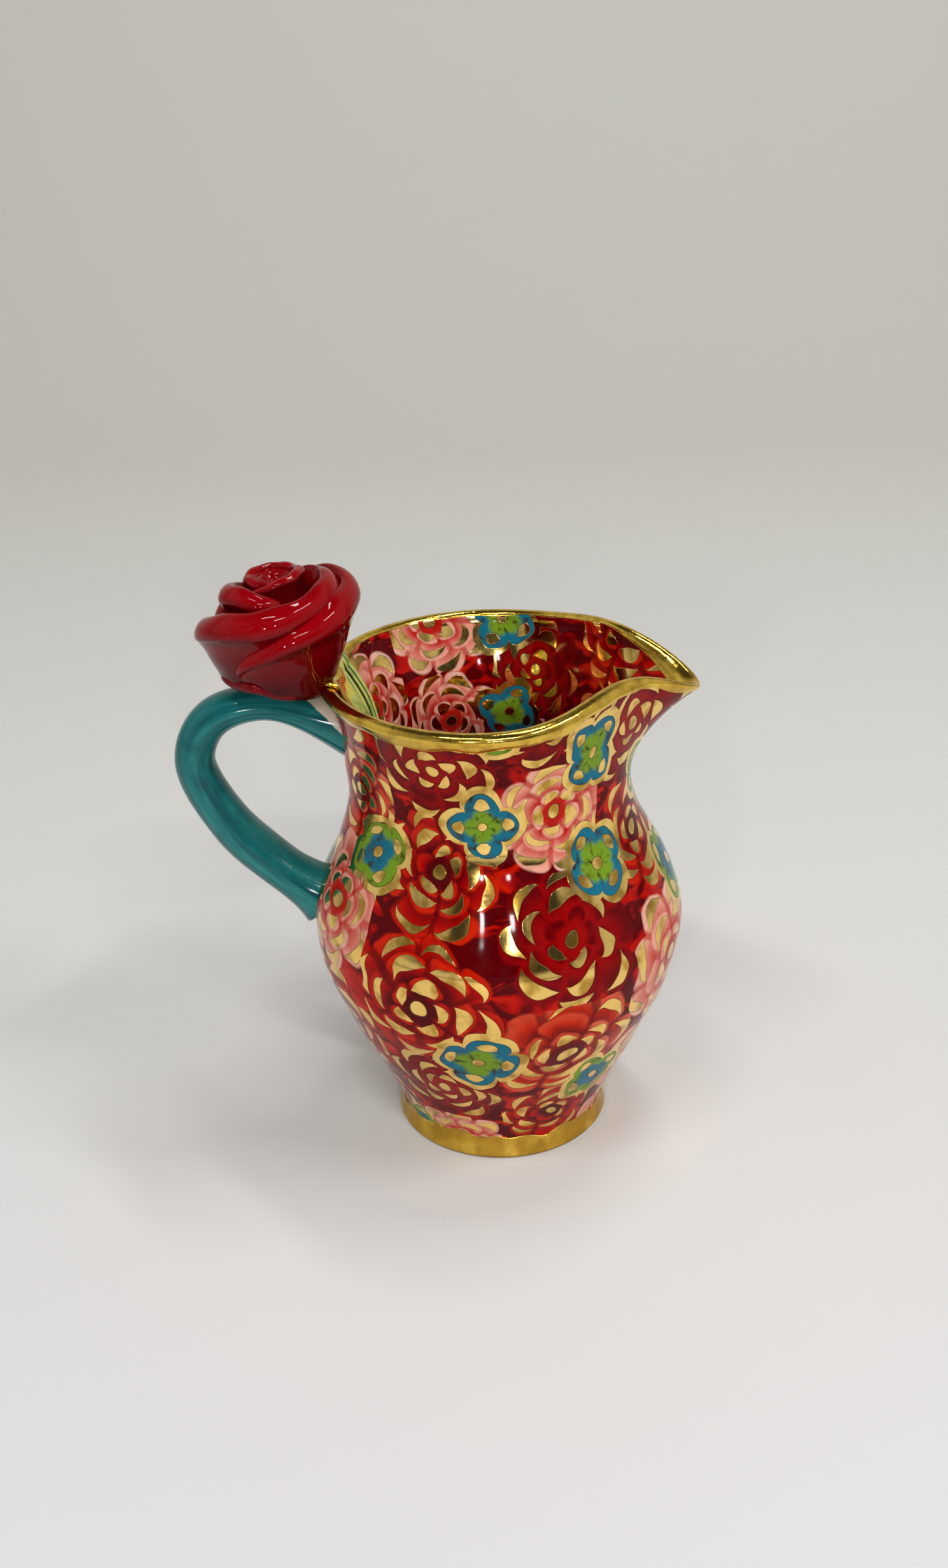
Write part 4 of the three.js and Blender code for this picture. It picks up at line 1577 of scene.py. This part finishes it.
@dataclass
class Leaf:
    """A leaf of clay laid over the lip and down the inner wall under the rose."""

    body: ThrownBody
    length: float = 22.8 * MM
    width: float = 19 * MM
    thickness: float = 1.5 * MM
    over_lip: float = 110
    off_wall: float = 0.3 * MM
    shoulder: float = 0.3
    tip: float = 0.1
    thin_edge: float = 0.5
    groove: float = 0.6 * MM
    groove_margin: float = 0.08
    vein_sway: float = 0.04
    vein_waves: Pair = (9, 4)
    vein_start: float = 0.08
    vein_end: float = 0.12
    crumple: float = 0.35 * MM
    crumple_waves: Pair = (5, 7)
    steps: int = 110
    across: int = 81

    def build(self, finish: LeafGlaze) -> None:
        """Builds the leaf and dresses it.

        Args:
            finish: Its glaze.
        """
        down = np.linspace(0, 1, self.steps)[:, None]
        side = np.linspace(-1, 1, self.across)[None, :]
        share = self.tip + (1 - self.tip) * np.sin(math.pi * (self.shoulder + (1 - self.shoulder) * down))
        cut = self._grooves(down, side)
        waves_down, waves_side = self.crumple_waves
        fold = self.crumple * np.sin(waves_side * side + waves_down * down) * (1 - side**2)
        front = self.thickness * (1 + (self.thin_edge - 1) * side**2) + fold - self.groove * cut
        surfaces = [self._surface(down, side, share, depth) for depth in (front, 0 * front)]
        rings = np.concatenate([surfaces[0], surfaces[1][:, ::-1]], axis=1)
        marks = {
            "groove": np.concatenate([cut, 0 * cut], axis=1),
            "down": np.concatenate([down + 0 * side] * 2, axis=1),
            "side": np.concatenate([side + 0 * down, side[:, ::-1] + 0 * down], axis=1),
        }
        settle(loft("clay_leaf", rings, marks), "leaf", Slot.LEAF, finish.material())

    def _grooves(self, down: Points, side: Points) -> Points:
        """The engraved veins.

        Args:
            down: Places along the leaf, from 0 to 1.
            side: Places across it, from -1 to 1.

        Returns:
            How deep they are cut there, from 0 to 1.
        """
        waves_down, waves_side = self.vein_waves
        drawn = side + self.vein_sway * np.sin(waves_down * down + waves_side * side)
        lines = []
        for vein in VEINS:
            run = smoothstep(down, vein.start, vein.start + self.vein_start)
            run = run * smoothstep(down, vein.end, vein.end - self.vein_end)
            lines.append(vein.depth * run * bell(drawn, vein.side, vein.width))
        return np.max(lines, axis=0) * smoothstep(1 - np.abs(side), 0, self.groove_margin)

    def _surface(self, down: Points, side: Points, share: Points, depth: Points) -> Points:
        """One side of the leaf.

        Args:
            down: Places along the leaf, from 0 to 1.
            side: Places across it, from -1 to 1.
            share: The share of its full width at each place along it.
            depth: How far the side lies off the leaf's back.

        Returns:
            Points of shape places along, places across, 3.
        """
        body = self.body
        bend = math.radians(self.over_lip)
        over = bend * (body.lip_round + self.off_wall)
        place = down * (self.length + over) - over
        turn = math.pi - np.clip(-place / over, 0, 1) * bend
        height = body.lip_base - np.maximum(place, 0)
        off = self.off_wall + depth
        on_lip = place < 0
        swing = body.lip_round + off
        radius = np.where(on_lip, body.rim_radius + swing * np.cos(turn), body.inner(height) - off)
        rise = np.where(on_lip, body.lip_base + swing * np.sin(turn), height)
        angle = math.pi + side * self.width / 2 * share / body.inner(height)
        points = [radius * np.cos(angle), radius * np.sin(angle), rise + 0 * angle]
        return body.leaned(np.stack(points, axis=-1))


@dataclass(frozen=True)
class Strip:
    """A strip of clay that is wrapped round the flower.

    Each station gives the angle in degrees, then the radius and height of the rolled edge and the
    radius and height of the sheet's foot, as shares of the flower's radius and height.
    """

    piece: str
    node: str
    stations: tuple[tuple[float, float, float, float, float], ...]
    sheet: float = 1.9 * MM
    lip: float = 4.4 * MM
    curl: float = 45
    swell: float = 0.5
    frill: float = 0.0
    # glow scales the rise mark, so a strip with a lower glow gets more painted shade
    glow: float = 1.0


STRIPS = (
    Strip("rolled_bud", "rose_bud", (
        (208, 0.43, 0.84, 0.42, 0.3), (232, 0.42, 0.9, 0.42, 0.3), (256, 0.405, 0.945, 0.41, 0.3),
        (288, 0.39, 0.99, 0.4, 0.3), (322, 0.375, 1.02, 0.39, 0.3), (355, 0.36, 1.015, 0.38, 0.3),
        (416, 0.35, 0.995, 0.37, 0.3), (470, 0.345, 0.985, 0.36, 0.3), (525, 0.335, 0.97, 0.35, 0.3),
        (570, 0.3, 0.955, 0.32, 0.3), (610, 0.24, 0.945, 0.26, 0.3), (655, 0.17, 0.95, 0.2, 0.3),
        (700, 0.11, 0.955, 0.12, 0.3),
    ), lip=2 * MM, curl=20),
    Strip("petal_inner_left", "rose_petal_inner_left", (
        (120, 0.55, 0.78, 0.46, 0.25), (160, 0.6, 0.84, 0.46, 0.25), (190, 0.635, 0.885, 0.46, 0.25),
        (225, 0.645, 0.915, 0.46, 0.25), (257, 0.63, 0.895, 0.46, 0.25), (285, 0.57, 0.85, 0.46, 0.25),
    ), lip=3.4 * MM),
    Strip("petal_front", "rose_petal_front", (
        (118, 0.8, 0.42, 0.64, 0.22), (134, 0.86, 0.46, 0.66, 0.22),
        (150, 0.9, 0.5, 0.69, 0.22), (174, 0.95, 0.57, 0.72, 0.22), (198, 0.97, 0.64, 0.74, 0.22),
        (224, 0.98, 0.72, 0.73, 0.22), (246, 0.98, 0.775, 0.68, 0.22), (268, 0.965, 0.81, 0.61, 0.22),
        (290, 0.925, 0.848, 0.56, 0.24), (312, 0.865, 0.888, 0.52, 0.2), (338, 0.8, 0.928, 0.5, 0.2),
        (372, 0.745, 0.935, 0.48, 0.2), (404, 0.69, 0.92, 0.46, 0.2), (436, 0.6, 0.85, 0.44, 0.2),
    ), lip=4.5 * MM, swell=-0.1),
    Strip("petal_back", "rose_petal_back", (
        (46, 0.8, 0.78, 0.52, 0.18), (90, 0.86, 0.76, 0.52, 0.18), (140, 0.82, 0.7, 0.52, 0.18),
        (190, 0.74, 0.58, 0.5, 0.18),
    )),
    Strip("petal_outer_right", "rose_petal_outer_right", (
        (238, 0.86, 0.4, 0.74, 0.23), (250, 0.9, 0.5, 0.76, 0.22), (264, 0.935, 0.572, 0.77, 0.2),
        (282, 0.97, 0.658, 0.78, 0.17), (302, 1, 0.725, 0.78, 0.14), (320, 1.01, 0.78, 0.77, 0.14),
        (342, 1.02, 0.828, 0.75, 0.19), (364, 1.03, 0.865, 0.73, 0.22), (386, 0.99, 0.89, 0.69, 0.22),
        (408, 0.92, 0.87, 0.65, 0.2), (440, 0.85, 0.72, 0.62, 0.2),
    ), lip=4.6 * MM, swell=-0.1),
    Strip("petal_outer_back", "rose_petal_outer_back", (
        (44, 0.92, 0.44, 0.62, 0.17), (76, 1, 0.54, 0.58, 0.12), (104, 0.97, 0.5, 0.58, 0.12),
        (128, 0.84, 0.4, 0.62, 0.18),
    )),
    # The low hem takes painted shade under the petals above it.
    Strip("petal_low_front", "rose_petal_low_front", (
        (170, 0.73, 0.24, 0.58, 0.2), (200, 0.76, 0.25, 0.58, 0.2), (228, 0.79, 0.255, 0.58, 0.2),
        (256, 0.81, 0.25, 0.58, 0.2), (274, 0.81, 0.21, 0.58, 0.16), (296, 0.775, 0.165, 0.56, 0.11),
        (318, 0.71, 0.14, 0.54, 0.09),
    ), lip=2.2 * MM, curl=0, frill=0.35 * MM, glow=0.5),
)


@dataclass
class Rose:
    """The rose on the handle's crown: a base, a rolled bud and petals with rolled edges."""

    handle: Handle
    seat: float = 0.184
    radius: float = 14 * MM
    height: float = 25 * MM
    press: float = 1.4 * MM
    base_radius: float = 8.8 * MM
    base_rise: float = 7.4 * MM
    base_height: float = 11 * MM
    base_stem: float = 3.8 * MM
    stem_height: float = 1.2 * MM
    stem_back: float = 1.2 * MM
    core_radius: float = 4.4 * MM
    core_height: float = 24.8 * MM
    core_round: float = 0.5 * MM
    core_dish: float = 1.4 * MM
    core_middle: float = 0.2 * MM
    swirl: float = 0.45 * MM
    swirl_turn: float = 8
    taper: float = 0.35
    lip_wobble: float = 0.05
    out_wobble: float = 0.1 * MM
    top_wobble: float = 0.12 * MM
    wobble_waves: Waves = (3, 5, 8)
    seeds_a_strip: int = 10
    frills: int = 9
    frill_rise: float = 0.5
    # Tones of the rise mark: painted shade on the pad under the petals and in the roll's creases, painted
    # light on the bud's top, painted shade down each sheet's outer side towards its foot
    pad_painted_shade_tone: float = 0.15
    core_top_painted_light: float = 0.6
    shade_inside: float = 0.35
    shade_outside: float = 0.8
    outer_shaded_tone: float = 0.8
    inner_end: float = 0.94
    outer_start: float = 0.72
    roll_long: float = 0.4
    roll_flat: float = 0.32
    dip: float = 0.25
    dip_at: float = 0.62
    dip_spread: float = 0.16
    degrees_a_ring: float = 3
    least_rings: int = 24
    base_steps: int = 24
    dish_steps: int = 19
    base_sides: int = 72
    inner_steps: int = 11
    roll_steps: int = 25
    outer_steps: int = 10

    def origin(self) -> Points:
        """The flower's foot on the handle.

        Returns:
            The point, in the jug's frame.
        """
        place = np.array([self.seat])
        rise = self.handle.thickness / 2 * float(self.handle.strap(place)[0]) - self.press
        return self.handle.midline(place)[0] + np.array([0, 0, rise])

    def build(self, finish: RoseGlaze) -> None:
        """Builds the base, the bud and the petals, and dresses them.

        Args:
            finish: Their glaze.
        """
        glaze = finish.material()
        settle(self._base(), "rose_base", Slot.ROSE, glaze)
        for seed, strip in enumerate(STRIPS):
            settle(self._strip(strip, seed), strip.node, Slot.ROSE, glaze)

    def _base(self) -> bpy.types.Object:
        """The pad of clay that the petals are pressed onto, with the rolled core of the bud.

        Returns:
            The piece.
        """
        turn = np.linspace(0, math.pi / 2, self.base_steps)
        dome = self.base_rise + (self.base_height - self.base_rise) * np.sin(turn)
        flat = self.core_radius - self.core_round
        brim = self.core_height - self.core_round * (1 - np.sin(turn))
        dish = np.linspace(flat, self.core_middle, self.dish_steps)[1:]
        rows = [
            (np.full(2, self.base_stem), np.array([-self.press, self.stem_height])),
            (np.maximum(self.base_radius * np.cos(turn), self.core_radius), dome),
            (flat + self.core_round * np.cos(turn), brim),
            (dish, self.core_height - self.core_dish * (1 - (dish / flat) ** 2)),
        ]
        radius, height = (np.concatenate(part)[:, None] for part in zip(*rows))
        angle = np.linspace(0, 2 * math.pi, self.base_sides, endpoint=False)
        share = np.minimum(radius / flat, 1) * (height > self.base_height)
        swirl = self.swirl * 4 * share * (1 - share) * np.sin(angle + self.swirl_turn * share)
        back = self.stem_back * (1 - smoothstep(height, self.stem_height, self.base_rise))
        rings = np.stack([radius * np.cos(angle), radius * np.sin(angle) + back, height + swirl], axis=-1)
        # The rise mark paints shade on the pad and light on the core's top.
        bright = self.core_top_painted_light * smoothstep(height, self.base_height, self.core_height)
        return loft("rose_pad", rings + self.origin(), {"rise": self.pad_painted_shade_tone + bright + 0 * angle})

    def _strip(self, strip: Strip, seed: int) -> bpy.types.Object:
        """One strip: closed sections carried round the flower.

        Args:
            strip: Its stations and thickness.
            seed: Picks its wobble.

        Returns:
            The piece.
        """
        stations = np.array(strip.stations, float)
        span = stations[-1, 0] - stations[0, 0]
        share = np.linspace(0, 1, int(span / self.degrees_a_ring) + self.least_rings)
        degrees, out, top, root, foot = spline(stations, share).T
        turn = np.radians(degrees)
        taper = self.taper + (1 - self.taper) * np.sqrt(np.maximum(np.sin(math.pi * share), 0))
        wobble = [waves(turn, self.seeds_a_strip * seed + k, self.wobble_waves) for k in range(3)]
        half = strip.sheet / 2 * taper
        edge = strip.lip / 2 * taper * (1 + self.lip_wobble * wobble[0])
        hem = strip.frill * np.sin(turn * self.frills) * np.sin(math.pi * share)
        out = self.radius * out + self.out_wobble * wobble[1] + hem
        top = self.height * top + self.top_wobble * wobble[2] + self.frill_rise * hem
        feet = np.stack([self.radius * root, self.height * foot], axis=-1)
        lips = np.stack([out - edge + half, top], axis=-1)
        sections, rise = self._sections(feet, lips, half[:, None], edge[:, None], strip)
        across, height = sections[..., 0], sections[..., 1]
        angle = turn[:, None]
        rings = np.stack([across * np.cos(angle), across * np.sin(angle), height], axis=-1)
        # rise carries painted shade and light, scaled by the strip's glow
        marks = {"rise": np.repeat(strip.glow * rise[None, :], len(rings), axis=0)}
        return loft(strip.piece, rings + self.origin(), marks)

    def _sections(
        self, root: Points, lip: Points, half: Points, edge: Points, strip: Strip
    ) -> tuple[Points, Points]:
        """Closed sections in the half plane of radius and height.

        Args:
            root: Foot of the sheet, one a ring.
            lip: Top of the sheet.
            half: Half the sheet's thickness.
            edge: Half the rolled edge's thickness.
            strip: Tells how far the edge is rolled over and where the sheet's outer side starts to thicken.

        Returns:
            Points of shape rings, points, 2, and each point's rise from 0 to 1, which climbs the sheet and
            paints light on the roll's top and shade under the roll and down the outer side.
        """
        curl = math.radians(strip.curl)
        along = lip - root
        along = along / np.linalg.norm(along, axis=1, keepdims=True)
        side = np.stack([along[:, 1], -along[:, 0]], axis=-1)
        sine, cosine = math.sin(curl), math.cos(curl)
        tongue = edge * (1 + self.roll_long * sine) * (side * cosine - along * sine)
        face = edge * (1 - self.roll_flat * sine) * (along * cosine + side * sine)
        centre = lip + side * (edge - half)
        points, rise = [], []
        for u in np.linspace(0, self.inner_end, self.inner_steps):
            points.append(root + (lip - root) * u - side * half)
            rise.append(u)
        for turn in np.linspace(math.pi, 0, self.roll_steps):
            points.append(centre + tongue * math.cos(turn) + face * math.sin(turn))
            # Painted shade where the roll turns under, on both sides
            shade = self.shade_inside if turn > math.pi / 2 else self.shade_outside
            rise.append(1 - shade * (1 - math.sin(turn)))
        for u in np.linspace(self.outer_start, 0, self.outer_steps):
            grown = half + (edge - half) * smoothstep(np.array(u), strip.swell, 1)
            dip = self.dip * (edge - half) * bell(u, self.dip_at, self.dip_spread)
            points.append(root + (lip - root) * u + side * (2 * grown - half - dip))
            rise.append(self.outer_shaded_tone * u)
        return np.stack(points, axis=1), np.array(rise, float)


# Studio


@dataclass(frozen=True)
class Lamp:
    """A flat lamp that points at the jug: its middle, its sides and its power in watts."""

    name: str
    place: Place
    size: Pair
    power: float


TUBE = (0.4, 0.055)
WINDOW = (0.07, 0.09)
LAMPS = (
    Lamp("right_tube", (0.62, -0.3, 0.95), TUBE, 2.8),
    Lamp("front_tube", (0.2, -0.85, 0.9), TUBE, 2.5),
    Lamp("left_tube", (-0.25, -0.5, 1.1), TUBE, 2.6),
    Lamp("back_tube", (0.2, 0.15, 1.15), TUBE, 2.4),
    Lamp("window_0", (-0.3, -1.5, 0.62), WINDOW, 3),
    Lamp("window_1", (0.22, -1.5, 0.62), WINDOW, 3),
)


@dataclass
class Studio:
    """A pale sweep, soft light and the camera of the photograph."""

    eye: Place = (0.0, -0.3379, 0.2399)
    pitch: float = 25.98
    pan: float = -0.73
    roll: float = -1.54
    focal_pixels: float = 2978
    image_height: float = 2464
    sensor: float = 36
    floor_front: float = -4.0
    floor_back: float = 0.5
    sweep_radius: float = 0.45
    sweep_top: float = 1.3
    sweep_steps: int = 24
    half_width: float = 4.0
    sheet_color: Color = (0.8, 0.79, 0.785)
    # Painted shade: the sweep's colour far back and up the backdrop
    sheet_far_shaded: Color = (0.73, 0.72, 0.66)
    sheet_roughness: float = 0.55
    sheet_sheen: float = 0.3
    far_shade_from: Span = (-0.25, 0.75)
    lamps_aim: Place = (0, 0, 0.06)
    room_dim: float = 0.06
    room_glow: float = 0.52
    ceiling: Span = (0.9, 0.6)
    dark_side: Place = (0.0, -0.95, 0.3)
    dark_depth: float = 0.92
    dark_reach: Span = (0.3, 0.8)
    clutter_size: float = 0.22
    clutter_stir: float = 0.5
    clutter: Span = (0.7, 0.45)
    horizon: Span = (0.04, 0.14)

    def build(self) -> None:
        """Sets up the sweep, the lights and the camera."""
        self._sweep()
        self._world()
        for lamp in LAMPS:
            self._hang(lamp)
        self._camera()
        bpy.context.scene.view_settings.view_transform = "Standard"

    def _sweep(self) -> None:
        """The floor, curved up into a backdrop."""
        bend = np.linspace(0, math.pi / 2, self.sweep_steps)
        depth = np.concatenate([[self.floor_front], self.floor_back + self.sweep_radius * np.sin(bend)])
        rise = np.concatenate([[0], self.sweep_radius * (1 - np.cos(bend))])
        depth, rise = np.append(depth, depth[-1]), np.append(rise, self.sweep_top)
        points = [(x, y, z) for y, z in zip(depth, rise) for x in (-self.half_width, self.half_width)]
        faces = [(2 * k, 2 * k + 1, 2 * k + 3, 2 * k + 2) for k in range(len(depth) - 1)]
        sweep = link_mesh("sweep", np.array(points), faces)
        recipe = Recipe("pale_sheet", Roughness=self.sheet_roughness, Specular_IOR_Level=self.sheet_sheen)
        _, y, _ = recipe.place()
        # Painted shade: the sweep darkens and warms towards the back and up the backdrop.
        color = recipe.blend(recipe.ease(y, *self.far_shade_from), self.sheet_color, self.sheet_far_shaded)
        sweep.data.materials.append(recipe.done(Base_Color=color))

    def _world(self) -> None:
        """Soft light from a room, darker behind the camera."""
        world = bpy.data.worlds.new("room")
        bpy.context.scene.world = world
        world.use_nodes = True
        mixer = Mixer(world.node_tree)
        split = mixer.node("SeparateXYZ", inputs={0: mixer.node("TexCoord").outputs["Generated"]})
        x, y, z = (mixer.value(socket) for socket in split.outputs)
        towards = x * self.dark_side[0] + y * self.dark_side[1] + z * self.dark_side[2]
        clutter = mixer.noise(self.clutter_size, 2, mixer.vector(x, y, z), self.clutter_stir)
        shade = mixer.ease(towards, *self.dark_reach) * mixer.ease(clutter, *self.clutter)
        shade = shade * mixer.ease(z, *self.horizon)
        bright = self.room_dim + self.room_glow * mixer.ease(z, *self.ceiling)
        background = next(n for n in mixer.tree.nodes if n.type == "BACKGROUND")
        mixer.plug((1.0, 1.0, 1.0), background.inputs["Color"])
        mixer.plug(bright * (1 - self.dark_depth * shade), background.inputs["Strength"])

    def _hang(self, lamp: Lamp) -> None:
        """Hangs one lamp.

        Args:
            lamp: Its place, size and power.
        """
        light = bpy.data.lights.new(lamp.name, "AREA")
        light.shape = "RECTANGLE"
        light.size, light.size_y = lamp.size
        light.energy = lamp.power
        holder = bpy.data.objects.new(lamp.name, light)
        bpy.context.scene.collection.objects.link(holder)
        holder.location = lamp.place
        aim = Vector(self.lamps_aim) - Vector(lamp.place)
        holder.rotation_euler = aim.to_track_quat("-Z", "Y").to_euler()

    def _camera(self) -> None:
        """The camera, as found from the outlines of the rim, the belly and the foot."""
        pitch, pan, roll = (math.radians(angle) for angle in (self.pitch, self.pan, self.roll))
        level = Vector((math.cos(pan), -math.sin(pan), 0))
        ahead = Vector((math.sin(pan), math.cos(pan), 0))
        forward = math.cos(pitch) * ahead - math.sin(pitch) * Vector((0, 0, 1))
        upright = level.cross(forward)
        right = math.cos(roll) * level + math.sin(roll) * upright
        up = math.cos(roll) * upright - math.sin(roll) * level
        data = bpy.data.cameras.new("photo_camera")
        data.sensor_width = self.sensor
        data.lens = self.focal_pixels / self.image_height * self.sensor
        camera = bpy.data.objects.new("photo_camera", data)
        bpy.context.scene.collection.objects.link(camera)
        turned = Matrix((right, up, -forward)).transposed().to_4x4()
        camera.matrix_world = Matrix.Translation(self.eye) @ turned
        bpy.context.scene.camera = camera


def main() -> None:
    """Builds the jug piece by piece, then the studio."""
    logging.basicConfig(level=logging.INFO, format="%(message)s")
    body = ThrownBody()
    handle = Handle(body)
    body.build(PaintedGlaze())
    Gilding(body).build(GoldLustre())
    handle.build(TealGlaze())
    Leaf(body).build(LeafGlaze())
    Rose(handle).build(RoseGlaze())
    Studio().build()


if __name__ == "__main__":
    main()
